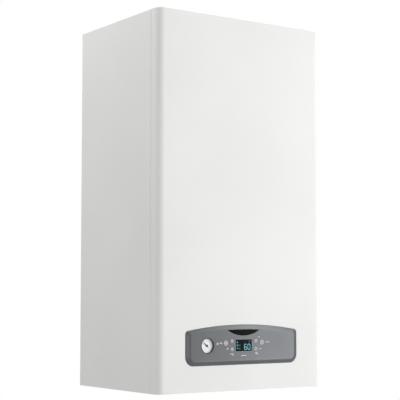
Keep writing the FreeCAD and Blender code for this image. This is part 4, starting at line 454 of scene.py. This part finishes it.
def new_piece(name, shape, material, body, smooth_angle=0.0):
    """Object of a shape at the origin, faces turned outwards, riding on a CAD body."""
    points, faces = shape
    mesh = bpy.data.meshes.new(name)
    mesh.from_pydata(np.asarray(points).tolist(), [], faces)
    skin = bmesh.new()
    skin.from_mesh(mesh)
    bmesh.ops.remove_doubles(skin, verts=skin.verts, dist=WELD_GAP)
    bmesh.ops.recalc_face_normals(skin, faces=skin.faces)
    skin.to_mesh(mesh)
    skin.free()
    mesh.materials.append(material)
    if smooth_angle:
        mesh.polygons.foreach_set("use_smooth", np.ones(len(mesh.polygons), bool))
        mesh.set_sharp_from_angle(angle=math.radians(smooth_angle))
    piece = bpy.data.objects.new(name, mesh)
    bpy.context.scene.collection.objects.link(piece)
    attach(piece, body)


print("faces of a closed loop of four rings of 64:", len(ring_faces(4, 64, True)))

# %% Flat shapes on the panel
def on_panel(outline, y):
    """Outline of x and z in mm, z from the casing's bottom edge, as points in metres at the depth y."""
    outline = np.asarray(outline, float)
    return np.column_stack([outline[:, 0] * MM, np.full(len(outline), y), outline[:, 1] * MM + CASING_FLOOR])


def plate(outline, front, back):
    """Flat plate: the outline at its front and at its back, joined by a wall."""
    return rings_shape(np.stack([on_panel(outline, back), on_panel(outline, front)]), False)


def frame_of(outer, inner, front, back):
    """Flat frame between two outlines: a closed loop of four rings."""
    rings = [on_panel(outer, back), on_panel(outer, front), on_panel(inner, front), on_panel(inner, back)]
    return rings_shape(np.stack(rings), True)


def circle(x, z, radius, count=64, start=0.0, stop=360.0):
    """Points on a circle or arc: x + r cos a, z + r sin a."""
    whole = abs(stop - start) >= 360.0
    angle = np.radians(np.linspace(start, stop, count, endpoint=not whole))
    return np.column_stack([x + radius * np.cos(angle), z + radius * np.sin(angle)])


def rounded_box(x, z, width, height, radius, count=6):
    """Rectangle with quarter circles at its corners, anticlockwise."""
    turn = np.radians(np.linspace(0, 90, count))[None, :] + np.radians([[0], [90], [180], [270]])
    mid_x = x + np.array([[1], [-1], [-1], [1]]) * (width / 2 - radius)
    mid_z = z + np.array([[1], [1], [-1], [-1]]) * (height / 2 - radius)
    return np.column_stack([(mid_x + radius * np.cos(turn)).ravel(), (mid_z + radius * np.sin(turn)).ravel()])


def stroke(path, width, front, back):
    """Flat line along a path of x and z in mm: the path moved along its normals, half a width each way."""
    path = np.asarray(path, float)
    along = np.gradient(path, axis=0)
    along /= np.linalg.norm(along, axis=1)[:, None]
    aside = np.column_stack([-along[:, 1], along[:, 0]]) * width / 2
    left, right = path + aside, path - aside
    edges = [on_panel(left, front), on_panel(right, front), on_panel(right, back), on_panel(left, back)]
    return rings_shape(np.stack(edges, 1), False)


print("points of a rounded box:", len(rounded_box(0.0, 0.0, 10.0, 10.0, 1.0)))

# %% [markdown]
# The pressure gauge is a black case behind a clear lens. Its white dial carries a printed scale of 0 to 4
# bar over three quarters of a turn. The scale could be a pattern in the dial's finish, but thin printed
# plates stay sharp at any distance and bake cleanly, so each tick, arc and figure is a plate that stands
# 0.06 mm proud.

# %% Places on the dial
GAUGE_X, GAUGE_Z = -87.2, 89.8
DIAL_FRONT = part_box("gauge_dial")[0].y
PRINT = 0.06 * MM
SCALE_START, SCALE_SWEEP, SCALE_BARS = 225.0, 270.0, 4
scale_front, scale_back = DIAL_FRONT - PRINT, DIAL_FRONT + PRINT


def scale_angle(bars):
    """Angle of a pressure: the start less its share of the sweep, in degrees anticlockwise from the right."""
    return SCALE_START - SCALE_SWEEP * bars / SCALE_BARS


def scale_point(bars, radius):
    """Point on the dial at a pressure: the middle plus r cos a and r sin a, with the pressure's angle a."""
    angle = math.radians(scale_angle(bars))
    return np.array([GAUGE_X, GAUGE_Z]) + radius * np.array([math.cos(angle), math.sin(angle)])


def scale_tick(bars, inner, outer, width):
    """Radial line on the dial at a pressure."""
    return stroke([scale_point(bars, inner), scale_point(bars, outer)], width, scale_front, scale_back)


def scale_band(low, high, radius, width):
    """Arc on the dial between two pressures."""
    path = circle(GAUGE_X, GAUGE_Z, radius, 28, scale_angle(low), scale_angle(high))
    return stroke(path, width, scale_front, scale_back)


print("dial front at", round(DIAL_FRONT, 5))

# %% Gauge scale
SCALE_RADIUS, BAR_TICK_START, FINE_TICK_START = 12.8, 10.9, 11.8
BAR_TICK_WIDTH, FINE_TICK_WIDTH, ARC_WIDTH = 0.45, 0.22, 0.25
FINE_STEPS = 5
NUMERAL_RADIUS, NUMERAL_SIZE = 8.8, 2.9


def figures(text, x, z, height, front, back):
    """Figures as a thin plate: Blender's own letter outlines, filled, thickened and placed in the mesh."""
    curve = bpy.data.curves.new("figure", "FONT")
    curve.body = text
    curve.size = 1.0
    curve.align_x = "CENTER"
    curve.align_y = "CENTER"
    curve.extrude = 0.5
    letters = bpy.data.objects.new("figure", curve)
    bpy.context.scene.collection.objects.link(letters)
    bpy.context.view_layer.update()
    mesh = bpy.data.meshes.new_from_object(letters.evaluated_get(bpy.context.evaluated_depsgraph_get()))
    points = np.empty(len(mesh.vertices) * 3)
    mesh.vertices.foreach_get("co", points)
    points = points.reshape(-1, 3)
    faces = [list(face.vertices) for face in mesh.polygons]
    bpy.data.objects.remove(letters)
    bpy.data.curves.remove(curve)
    bpy.data.meshes.remove(mesh)
    flat = on_panel(points[:, :2] * height + np.array([x, z]), 0.0)
    flat[:, 1] = np.where(points[:, 2] > 0, front, back)
    return flat, faces


whole_bars = range(SCALE_BARS + 1)
fine_bars = [step / FINE_STEPS for step in range(FINE_STEPS * SCALE_BARS + 1) if step % FINE_STEPS]
ticks = [scale_tick(bars, BAR_TICK_START, SCALE_RADIUS, BAR_TICK_WIDTH) for bars in whole_bars]
ticks += [scale_tick(bars, FINE_TICK_START, SCALE_RADIUS, FINE_TICK_WIDTH) for bars in fine_bars]
ticks.append(scale_band(0, SCALE_BARS, SCALE_RADIUS, ARC_WIDTH))
for bars in whole_bars:
    x, z = scale_point(bars, NUMERAL_RADIUS)
    ticks.append(figures(str(bars), x, z, NUMERAL_SIZE, scale_front, scale_back))
new_piece("gauge_scale", joined(ticks), dial_print, "control_box")
print("prints on the dial:", len(ticks))

# %% [markdown]
# The display is a black window with figures that glow pale blue. They could be letters of a font, but a
# display of this kind lights straight bars. Seven bars make any figure, so one table of the lit bars draws
# both.

# %% Display figures
DISPLAY_Z = 88.9
WINDOW_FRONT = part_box("display_window")[0].y
glow_front, glow_back = WINDOW_FRONT - PRINT, WINDOW_FRONT + PRINT
GLOW_LIGHT = (112, 182, 196)
FIGURE_GLOW, SIGN_GLOW = 0.85, 0.55


def glow_finish(name, strength):
    """Pale blue print that gives off light of its own."""
    material = finish(name, (60, 110, 120), (54, 100, 112), roughness=0.40, spread=0.04,
                      fineness=2000.0, patches=120.0, depth=0.002)
    shader_of(material).inputs["Emission Color"].default_value = light_of(GLOW_LIGHT)
    shader_of(material).inputs["Emission Strength"].default_value = strength
    return material


glow_blue = glow_finish("glow_blue", FIGURE_GLOW)
glow_dim = glow_finish("glow_dim", SIGN_GLOW)
FIGURE_Z, FIGURE_WIDTH, FIGURE_HEIGHT = DISPLAY_Z - 3.2, 7.0, 11.8
FIGURE_BAR, FIGURE_GAP = 1.35, 0.12
FIGURE_PLACES = (("6", 4.5), ("0", 13.0))
LIT_BARS = {"6": "afgedc", "0": "abcdef"}
BAR_ENDS = {"a": ((-1, 1), (1, 1)), "b": ((1, 1), (1, 0)), "c": ((1, 0), (1, -1)), "d": ((-1, -1), (1, -1)),
            "e": ((-1, 0), (-1, -1)), "f": ((-1, 1), (-1, 0)), "g": ((-1, 0), (1, 0))}


def lit_bar(letter, x, z):
    """One bar of a seven-bar figure whose middle is x, z: a long hexagon between the bar's two ends."""
    half = np.array([FIGURE_WIDTH - FIGURE_BAR, FIGURE_HEIGHT - FIGURE_BAR]) / 2
    start, end = np.array([x, z]) + np.array(BAR_ENDS[letter]) * half
    along = (end - start) / np.linalg.norm(end - start)
    aside = np.array([-along[1], along[0]]) * FIGURE_BAR / 2
    start, end = start + along * FIGURE_GAP, end - along * FIGURE_GAP
    near, far = start + along * FIGURE_BAR / 2, end - along * FIGURE_BAR / 2
    return plate([start, near - aside, far - aside, end, far + aside, near + aside], glow_front, glow_back)


lit = [lit_bar(letter, x, FIGURE_Z) for figure, x in FIGURE_PLACES for letter in LIT_BARS[figure]]
new_piece("display_figures", joined(lit), glow_blue, "control_box")
print("lit bars:", len(lit))

# %% [markdown]
# The signs on display, buttons and fascia are small prints: a radiator, a tap, a drop, arrows, short lines
# and a power ring. They could be painted by a material, but strokes along a few points stay sharp at any
# distance. Their points are written in shares of the sign's size, so one function draws a sign at any place
# and size.

# %% Signs
def placed(shares, x, z, size):
    """Points in shares of a sign's size, times the size and moved to x, z."""
    return np.array([x, z]) + size * np.asarray(shares, float)


def sign(strokes, x, z, size, front, back):
    """Sign of several strokes, each a path and a width in shares of the sign's size."""
    return joined([stroke(placed(path, x, z, size), width * size, front, back) for path, width in strokes])


RADIATOR = [([(side, -0.42), (side, 0.42)], 0.15) for side in (-0.42, -0.14, 0.14, 0.42)]
RADIATOR.append(([(-0.58, -0.26), (0.58, -0.26)], 0.10))
SPOUT = np.vstack([[(-0.5, 0.18)], circle(0.12, -0.12, 0.3, 10, 90, 0), [(0.42, -0.3)]])
TAP = [(SPOUT, 0.24), ([(-0.12, 0.2), (-0.12, 0.46)], 0.12), ([(-0.4, 0.48), (0.16, 0.48)], 0.13)]
POWER = [(circle(0.0, 0.0, 0.4, 30, 125, 415), 0.13), ([(0.0, 0.08), (0.0, 0.54)], 0.13)]
ARROW_SHAFT, ARROW_WIDTH = [(-0.5, 0.0), (0.18, 0.0)], 0.14
ARROW_HEAD = [(0.5, 0.0), (0.08, 0.3), (0.08, -0.3)]
TURN_RADIUS, TURN_WIDTH, TURN_HEAD_LENGTH, TURN_HEAD_HALF = 0.4, 0.13, 0.36, 0.26
DROP_HALF, LINE_SHARE = 0.304, 0.42


def drop_sign(x, z, size, front, back):
    """Filled drop, point up: the half-width goes with sin(t) (1 + cos(t)), the height is -cos(t) / 2."""
    turn = np.linspace(0, 2 * math.pi, 40, endpoint=False)
    shares = np.column_stack([DROP_HALF * np.sin(turn) * (1 + np.cos(turn)), -np.cos(turn) / 2])
    return plate(placed(shares, x, z, size), front, back)


def arrow_sign(x, z, size, angle, front, back):
    """Straight arrow, turned by an angle a: a point u, v goes to u cos a - v sin a, u sin a + v cos a."""
    turn = math.radians(angle)
    rotation = np.array([[math.cos(turn), math.sin(turn)], [-math.sin(turn), math.cos(turn)]])
    shaft = stroke(placed(ARROW_SHAFT @ rotation, x, z, size), ARROW_WIDTH * size, front, back)
    return joined([shaft, plate(placed(ARROW_HEAD @ rotation, x, z, size), front, back)])


def turn_sign(x, z, size, start, stop, front, back):
    """Round arrow: an arc with a filled head at its end, square to the radius there."""
    arc = circle(0.0, 0.0, TURN_RADIUS, 28, start, stop)
    ahead = math.radians(stop + math.copysign(90.0, stop - start))
    along = np.array([math.cos(ahead), math.sin(ahead)])
    aside = np.array([-along[1], along[0]]) * TURN_HEAD_HALF
    head = arc[-1] + np.array([along * TURN_HEAD_LENGTH, aside, -aside])
    line = stroke(placed(arc, x, z, size), TURN_WIDTH * size, front, back)
    return joined([line, plate(placed(head, x, z, size), front, back)])


def lines_sign(x, z, width, count, pitch, front, back):
    """Short level lines one above the other, each a share of the pitch thick."""
    rows = [z + pitch * (index - (count - 1) / 2) for index in range(count)]
    paths = [[(x - width / 2, row), (x + width / 2, row)] for row in rows]
    return joined([stroke(path, pitch * LINE_SHARE, front, back) for path in paths])


print("strokes of radiator, tap and power sign:", len(RADIATOR), len(TAP), len(POWER))

# %% Display signs
glow = (glow_front, glow_back)
DISPLAY_ROWS = (DISPLAY_Z + 6.6, DISPLAY_Z + 0.1, DISPLAY_Z - 6.3)
ICON_X, LINES_X = -15.2, -9.6
# Each row gives x and z in mm, then a sign's size, or the width, number and pitch of its lines.
signs = [
    drop_sign(-15.6, DISPLAY_ROWS[0], 3.8, *glow),
    sign(RADIATOR, ICON_X, DISPLAY_ROWS[1], 3.8, *glow),
    lines_sign(LINES_X, DISPLAY_ROWS[1], 1.8, 3, 1.2, *glow),
    sign(TAP, ICON_X, DISPLAY_ROWS[2], 4.0, *glow),
    lines_sign(LINES_X, DISPLAY_ROWS[2], 1.8, 3, 1.2, *glow),
    lines_sign(14.4, DISPLAY_Z + 7.2, 3.0, 2, 1.5, *glow),
]
new_piece("display_signs", joined(signs), glow_dim, "control_box")
print("display signs:", len(signs))

# %% [markdown]
# A thin grey frame closes the gap between the display's window and the fascia. It is a loop between two
# rounded boxes, one a little larger than the window and one a little smaller.

# %% Frame round the display
FASCIA_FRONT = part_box("control_fascia")[0].y
WINDOW_WIDTH, WINDOW_HEIGHT = 40.0, 23.4
FRAME_EDGE, FRAME_LAP, FRAME_OUTER_CORNER, FRAME_INNER_CORNER = 0.5, 0.1, 1.2, 0.7
FRAME_PROUD, FRAME_DEPTH = 0.12, 0.5
frame_front, frame_back = FASCIA_FRONT - FRAME_PROUD * MM, FASCIA_FRONT + FRAME_DEPTH * MM
outer = rounded_box(0.0, DISPLAY_Z, WINDOW_WIDTH + 2 * FRAME_EDGE, WINDOW_HEIGHT + 2 * FRAME_EDGE,
                    FRAME_OUTER_CORNER)
inner = rounded_box(0.0, DISPLAY_Z, WINDOW_WIDTH - 2 * FRAME_LAP, WINDOW_HEIGHT - 2 * FRAME_LAP,
                    FRAME_INNER_CORNER)
rim = frame_of(outer, inner, frame_front, frame_back)
new_piece("display_rim", rim, button_grey, "control_box")
print("display rim is", FRAME_EDGE + FRAME_LAP, "mm wide")

# %% [markdown]
# The buttons are grey discs with a paler ring and a sign, both printed, so they ride on their own button
# and go in with it. The two upper ones have a plus and the two lower ones a minus.

# %% Button prints
# Each row has the x, the z and the radius of a button, in mm.
BUTTONS = {"button_left_large": (-44.2, 94.1, 5.4), "button_left_upper": (-29.3, 97.5, 3.9),
           "button_left_lower": (-29.3, 81.6, 3.9), "button_right_large": (44.2, 94.1, 5.4),
           "button_right_upper": (29.3, 97.5, 3.9), "button_right_lower": (29.3, 81.6, 3.9)}
RING_OUTER_SHARE, RING_INNER_SHARE, SIGN_SHARE, SMALL_SIGN_SHARE = 0.89, 0.66, 0.95, 0.8
MINUS_PITCH, PLUS_WIDTH = 1.4, 0.6
for name, (x, z, radius) in BUTTONS.items():
    button_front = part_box(name)[0].y
    front, back = button_front - PRINT, button_front + PRINT
    ring_outer, ring_inner = circle(x, z, radius * RING_OUTER_SHARE), circle(x, z, radius * RING_INNER_SHARE)
    prints = [frame_of(ring_outer, ring_inner, front, back)]
    size = radius * SIGN_SHARE
    small = size * SMALL_SIGN_SHARE
    if name == "button_left_large":
        prints.append(sign(RADIATOR, x, z, small, front, back))
    elif name == "button_right_large":
        prints.append(sign(POWER, x, z, size, front, back))
    else:
        prints.append(lines_sign(x, z, small, 1, MINUS_PITCH, front, back))
    if name.endswith("upper"):
        prints.append(stroke([(x, z - small / 2), (x, z + small / 2)], PLUS_WIDTH, front, back))
    new_piece(name + "_print", joined(prints), button_ring, name)
print("button prints:", len(BUTTONS))

# %% [markdown]
# The signs on the fascia beside the buttons are white prints of the same kind, and ride on the control box.

# %% Fascia signs
fascia = (FASCIA_FRONT - PRINT, FASCIA_FRONT + PRINT)
# Each row gives x and z in mm, then a sign's size and angles, or the width, number and pitch of its lines.
panel_signs = [
    sign(RADIATOR, -63.8, 93.2, 4.9, *fascia),
    sign(TAP, -55.5, 93.2, 5.2, *fascia),
    arrow_sign(-40.0, 82.9, 6.2, 38.0, *fascia),
    turn_sign(-29.3, 70.8, 7.2, 175.0, 20.0, *fascia),
    lines_sign(0.0, 68.8, 12.0, 1, 2.8, *fascia),
    turn_sign(36.9, 103.9, 4.6, 150.0, 30.0, *fascia),
    lines_sign(59.2, 94.4, 11.0, 1, 2.4, *fascia),
    arrow_sign(41.0, 81.4, 4.8, 0.0, *fascia),
    sign(TAP, 31.3, 71.6, 5.6, *fascia),
    plate(circle(-6.0, 61.8, 0.4, 20), *fascia),
]
new_piece("fascia_signs", joined(panel_signs), print_white, "control_box")
print("fascia signs:", len(panel_signs))

# %% [markdown]
# With the casing off, a fitter sees how the boiler is held together: hexagon nuts at the ends of the pipes,
# screws with a flange under their head, nuts on studs round the burner door, and clamps on the hoses. Each
# is a turned profile. A row of the profile has a radius, a height and a number of flats: with no flats the
# row is a circle, and with six it is a hexagon, so one grid carries a round flange into a hexagon head.

# %% Turned hardware
FRONT, REAR, UP, DOWN = (0, -1, 0), (0, 1, 0), (0, 0, 1), (0, 0, -1)
LEFT, RIGHT = (-1, 0, 0), (1, 0, 0)
SMOOTH_ANGLE = 30.0


def place_of(x, d, z):
    """Point in metres from mm: x, the distance d from the wall, and the height z over the casing's bottom."""
    return np.array([x * MM, -d * MM, z * MM + CASING_FLOOR])


def turned(profile, place, axis, ring=False, count=24):
    """Turned shape: a row of n flats has the radius r / cos(a), with the angle a folded into one flat."""
    axis = np.asarray(axis, float)
    first = np.cross(axis, RIGHT if axis[2] else UP)
    second = np.cross(axis, first)
    angle = np.linspace(0, 2 * math.pi, count, endpoint=False)
    rings = []
    for radius, height, flats in profile:
        half = math.pi / flats if flats else math.pi
        folded = (angle + half) % (2 * half) - half
        reach = radius / np.cos(folded) if flats else np.full(count, radius)
        across = np.outer(reach * np.cos(angle), first) + np.outer(reach * np.sin(angle), second)
        rings.append(place + (across + height * axis) * MM)
    return rings_shape(np.stack(rings), ring)


def scaled(shares, radius, length):
    """Profile from a table of shares: radii times radius, heights times length."""
    return [(radius * wide, length * high, flats) for wide, high, flats in shares]


SCREW_SHARES = [(1.0, 0.0, 0), (1.0, 0.2, 0), (0.74, 0.36, 0), (0.6, 0.38, 6), (0.6, 0.9, 6), (0.52, 1.0, 0),
                (0.28, 1.0, 0), (0.2, 0.6, 0)]
STUD_SHARES = [(1.4, 0.0, 0), (1.4, 0.12, 0), (0.95, 0.13, 0), (1.0, 0.18, 6), (1.0, 0.62, 6), (0.9, 0.7, 0),
               (0.55, 0.7, 0), (0.55, 0.95, 0), (0.45, 1.0, 0)]
UNION_SHARES = [(0.92, 0.0, 0), (1.0, 0.07, 6), (1.0, 0.62, 6), (0.9, 0.72, 0), (0.86, 0.95, 0),
                (0.8, 1.0, 0)]
NIPPLE_SHARES = [(1.0, 0.0, 6), (1.0, 0.4, 6), (0.6, 0.45, 0), (0.6, 0.9, 0), (0.45, 1.0, 0)]
SCREW_HEIGHT_SHARE = 0.8


def screw(place, axis, radius):
    """Flange screw with a hexagon head, 0.8 radii high."""
    return turned(scaled(SCREW_SHARES, radius, radius * SCREW_HEIGHT_SHARE), place, axis)


print("hardware profiles:", len(SCREW_SHARES), len(STUD_SHARES), len(UNION_SHARES), len(NIPPLE_SHARES))

# %% Pipe nuts
DRUM_Z, PORT_X, WATER_D, VALVE_X, PUMP_X, PUMP_Z = 430.0, 125.0, 130.0, 160.0, 128.0, 165.0
# Each row has a nut's place, its axis, its radius and its length.
PIPE_NUTS = {
    "gas connection": ((0, WATER_D, 46.5), UP, 13.0, 16.0),
    "gas valve inlet": ((VALVE_X, 190, 252), DOWN, 12.5, 11.0),
    "gas valve outlet": ((VALVE_X, 215, 330), UP, 10.5, 14.0),
    "venturi port": ((84, 276, 612), RIGHT, 10.8, 14.0),
    "flow port": ((-PORT_X, WATER_D, DRUM_Z), LEFT, 12.6, 12.0),
    "return port": ((PORT_X, WATER_D, DRUM_Z), RIGHT, 12.6, 12.0),
    "flow riser": ((-150, WATER_D, 150), UP, 14.0, 16.0),
    "pump outlet": ((158, WATER_D, 215), UP, 14.0, 16.0),
    "vessel port": ((0, 59.5, 298), DOWN, 9.6, 12.0),
    "pump port": ((PUMP_X, 110, PUMP_Z), REAR, 9.0, 12.0),
}
pipe_nuts = [turned(scaled(UNION_SHARES, radius, length), place_of(*place), axis)
             for place, axis, radius, length in PIPE_NUTS.values()]
new_piece("pipe_nuts", joined(pipe_nuts), brass, "boiler_body", SMOOTH_ANGLE)
print("pipe nuts:", len(pipe_nuts))

# %% [markdown]
# The five connections under the boiler are threaded. A bump in the finish would leave their outline smooth,
# so a thread is a grid of angle and height. Its radius follows a triangle wave of the height less the
# angle's share of one turn, so the ridges climb as on a real thread.

# %% Threads of the connections
THREAD_PITCH, THREAD_DEPTH, THREAD_SINK, THREAD_LOW, THREAD_HIGH = 2.3, 0.9, 0.15, 9.0, 22.5
THREAD_RADII = {-134: 13.2, -67: 10.5, 0: 13.2, 67: 10.5, 134: 13.2}
THREAD_SMOOTH_ANGLE = 60.0


def thread(x, radius, rows=49, count=40):
    """Thread skin: radius plus a triangle wave of height / pitch - angle / one turn, faded at both ends."""
    high = np.linspace(THREAD_LOW, THREAD_HIGH, rows)[:, None]
    turn = np.linspace(0, 1, count, endpoint=False)[None, :]
    wave = np.abs(((high / THREAD_PITCH - turn) % 1.0) * 2 - 1)
    fade = np.clip(np.minimum(high - THREAD_LOW, THREAD_HIGH - high) / THREAD_PITCH, 0, 1)
    reach = radius - THREAD_SINK + THREAD_DEPTH * wave * fade
    angle = 2 * math.pi * turn
    points = np.stack(np.broadcast_arrays(reach * np.cos(angle), reach * np.sin(angle), high), -1)
    return rings_shape(points * MM + place_of(x, WATER_D, 0), False)


threads = [thread(x, radius) for x, radius in THREAD_RADII.items()]
new_piece("connection_threads", joined(threads), brass, "boiler_body", THREAD_SMOOTH_ANGLE)
print("threads:", len(threads))

# %% [markdown]
# Seven nuts on studs hold the burner door; the eighth place on their circle stays free, where the mixing
# duct passes. Screws hold the fan's front, the duct's flange, the gas valve's cover and the flue collar,
# and a nut sits on each of the valve's two coils.

# %% Door nuts
DOOR_FRONT, DOOR_NUT_CIRCLE, DOOR_NUT_RADIUS, DOOR_NUT_LENGTH = 213.0, 103.0, 4.6, 9.0
DOOR_NUT_ANGLES = (0, 45, 135, 180, 225, 270, 315)


def circle_places(x, d, z, radius, angles):
    """Places on an upright circle at the distance d from the wall: x + r cos a, z + r sin a."""
    turns = np.radians(angles)
    return [place_of(x + radius * math.cos(turn), d, z + radius * math.sin(turn)) for turn in turns]


door_nuts = [turned(scaled(STUD_SHARES, DOOR_NUT_RADIUS, DOOR_NUT_LENGTH), place, FRONT)
             for place in circle_places(0, DOOR_FRONT, DRUM_Z, DOOR_NUT_CIRCLE, DOOR_NUT_ANGLES)]
new_piece("door_nuts", joined(door_nuts), bare_zinc, "boiler_body", SMOOTH_ANGLE)
print("door nuts:", len(door_nuts))

# %% Inside screws
DIAGONALS = (45, 135, 225, 315)
CORNERS = ((1, 1), (-1, 1), (-1, -1), (1, -1))
FAN_X, FAN_Z, FAN_FRONT, FAN_SCREW_CIRCLE, FAN_SCREW = 42.0, 612.0, 264.0, 39.0, 4.0
DUCT_FLANGE_FRONT, DUCT_SCREW_CIRCLE, DUCT_SCREW = 226.0, 23.2, 3.4
VALVE_Z, VALVE_FRONT, VALVE_SCREW_X, VALVE_SCREW_Z, VALVE_SCREW = 291.0, 225.0, 21.5, 31.5, 3.6
COIL_FRONT, COIL_HALF_PITCH, COIL_NUT_RADIUS, COIL_NUT_LENGTH = 249.0, 18.0, 4.4, 6.0
COLLAR_D, COLLAR_TOP, COLLAR_SCREW_OFFSET, COLLAR_SCREW = 150.0, 747.0, 51.0, 4.6
fan_places = circle_places(FAN_X, FAN_FRONT, FAN_Z, FAN_SCREW_CIRCLE, DIAGONALS)
duct_places = circle_places(0, DUCT_FLANGE_FRONT, DRUM_Z, DUCT_SCREW_CIRCLE, DIAGONALS)
valve_places = [place_of(VALVE_X + VALVE_SCREW_X * side, VALVE_FRONT, VALVE_Z + VALVE_SCREW_Z * rise)
                for side, rise in CORNERS]
coil_places = [place_of(VALVE_X, COIL_FRONT, VALVE_Z + COIL_HALF_PITCH * rise) for rise in (-1, 1)]
collar_places = [place_of(COLLAR_SCREW_OFFSET * side, COLLAR_D + COLLAR_SCREW_OFFSET * out, COLLAR_TOP)
                 for side, out in CORNERS]
screws = [screw(place, FRONT, FAN_SCREW) for place in fan_places]
screws += [screw(place, FRONT, DUCT_SCREW) for place in duct_places]
screws += [screw(place, FRONT, VALVE_SCREW) for place in valve_places]
coil_nut = scaled(STUD_SHARES, COIL_NUT_RADIUS, COIL_NUT_LENGTH)
screws += [turned(coil_nut, place, FRONT) for place in coil_places]
screws += [screw(place, UP, COLLAR_SCREW) for place in collar_places]
new_piece("inside_screws", joined(screws), bare_zinc, "boiler_body", SMOOTH_ANGLE)
print("inside screws:", len(screws))

# %% [markdown]
# The gas valve has two nipples where a fitter measures the pressure, and the pump's motor has a plug in its
# front that lets the air out. They are turned brass, of the same kind of profile.

# %% Test nipples and bleed plug
NIPPLE_X, NIPPLE_HALF_PITCH, NIPPLE_RADIUS, NIPPLE_LENGTH = 138.5, 10.0, 3.6, 10.0
PUMP_FRONT = 186.0
PLUG_ROWS = [(11.0, 0.0, 0), (11.0, 2.2, 0), (9.6, 3.2, 0), (6.4, 3.2, 0), (5.2, 3.6, 6), (5.2, 6.2, 6),
             (4.4, 7.0, 0)]
nipple_places = [place_of(NIPPLE_X, VALVE_FRONT, VALVE_Z + NIPPLE_HALF_PITCH * rise) for rise in (-1, 1)]
nipple = scaled(NIPPLE_SHARES, NIPPLE_RADIUS, NIPPLE_LENGTH)
nipples = [turned(nipple, place, FRONT) for place in nipple_places]
nipples.append(turned(PLUG_ROWS, place_of(PUMP_X, PUMP_FRONT, PUMP_Z), FRONT))
new_piece("nipples_and_plug", joined(nipples), brass, "boiler_body", SMOOTH_ANGLE)
print("nipples and plug:", len(nipples))

# %% [markdown]
# A worm clamp holds the condensate hose at each end, below the drum and above the trap. The band is a
# closed loop of four rings, and the worm's housing a turned profile that lies across it.

# %% Hose clamps
HOSE_RADIUS, CLAMP_WIDTH, CLAMP_SHEET = 10.0, 8.0, 0.7
CLAMP_PLACES = ((-60, 150, 300), (-165, 70, 238))
WORM_HALF, WORM_GAP = 6.0, 1.6
WORM_ROWS = [(2.4, 0.0, 0), (3.4, 0.6, 0), (3.4, 9.0, 0), (3.0, 9.4, 6), (3.0, 12.0, 6), (2.6, 12.4, 0)]


def clamp(x, d, z):
    """Level band round an upright hose with a round worm housing at its front."""
    outside = HOSE_RADIUS + CLAMP_SHEET
    band = [(HOSE_RADIUS, 0, 0), (outside, 0, 0), (outside, CLAMP_WIDTH, 0), (HOSE_RADIUS, CLAMP_WIDTH, 0)]
    housing = place_of(x - WORM_HALF, d + outside + WORM_GAP, z + CLAMP_WIDTH / 2)
    return joined([turned(band, place_of(x, d, z), UP, True, 40), turned(WORM_ROWS, housing, RIGHT)])


clamps = [clamp(*place) for place in CLAMP_PLACES]
new_piece("hose_clamps", joined(clamps), stainless, "boiler_body", SMOOTH_ANGLE)
print("clamps:", len(clamps))

# %% [markdown]
# The control box opens at its back, where a lid covers the wiring space. Tipped forward, the box shows that
# lid from above. The lid is a stack of rounded outlines: a base, a straight edge, a chamfer, and a sunk
# middle field with a row of ribs. Six screws hold it, and four more sit in the corners of the box's front.

# %% Control box lid
BOX_REAR, BOX_MIDDLE = 217.0, 100.0
LID_CORNER, LID_FACE = 5.0, 2.8
# Each row has a width, a height and how far it stands behind the box's rear, in mm.
LID_ROWS = [(336.0, 84.0, -0.2), (336.0, 84.0, 1.8), (333.6, 81.6, LID_FACE), (312.0, 60.0, LID_FACE),
            (309.6, 57.6, 1.6)]
RIB_ROWS = [(6.0, 46.0, 1.4), (6.0, 46.0, 2.4), (4.8, 44.8, 3.0)]
RIB_REACH, RIB_COUNT, RIB_CORNER_SHARE = 135.0, 10, 1 / 2.2


def box_outline(x, width, height, corner, behind):
    """Rounded outline round the box's middle height, a distance behind the box's rear."""
    return on_panel(rounded_box(x, BOX_MIDDLE, width, height, corner), (behind - BOX_REAR) * MM)


lid_rings = [box_outline(0.0, wide, high, LID_CORNER, behind) for wide, high, behind in LID_ROWS]
lid = [rings_shape(np.stack(lid_rings), False)]
for x in np.linspace(-RIB_REACH, RIB_REACH, RIB_COUNT):
    rib_rings = [box_outline(x, wide, high, wide * RIB_CORNER_SHARE, behind)
                 for wide, high, behind in RIB_ROWS]
    lid.append(rings_shape(np.stack(rib_rings), False))
new_piece("box_lid", joined(lid), box_black, "control_box", SMOOTH_ANGLE)
print("lid with", RIB_COUNT, "ribs")

# %% Control box screws
BOX_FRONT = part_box("control_box")[0].y / -MM
FRONT_SCREW_X, FRONT_SCREW_Z, FRONT_SCREW = (-168, 168), (64, 138), 3.0
LID_SCREW_X, LID_SCREW_Z, LID_SCREW = (-162, 0, 162), (64, 136), 3.2
box_screws = [screw(place_of(x, BOX_FRONT, z), FRONT, FRONT_SCREW)
              for x in FRONT_SCREW_X for z in FRONT_SCREW_Z]
box_screws += [screw(place_of(x, BOX_REAR - LID_FACE, z), REAR, LID_SCREW)
               for x in LID_SCREW_X for z in LID_SCREW_Z]
new_piece("box_screws", joined(box_screws), bare_zinc, "control_box", SMOOTH_ANGLE)
print("control box from", BOX_REAR, "to", round(BOX_FRONT, 2), "mm; box screws:", len(box_screws))
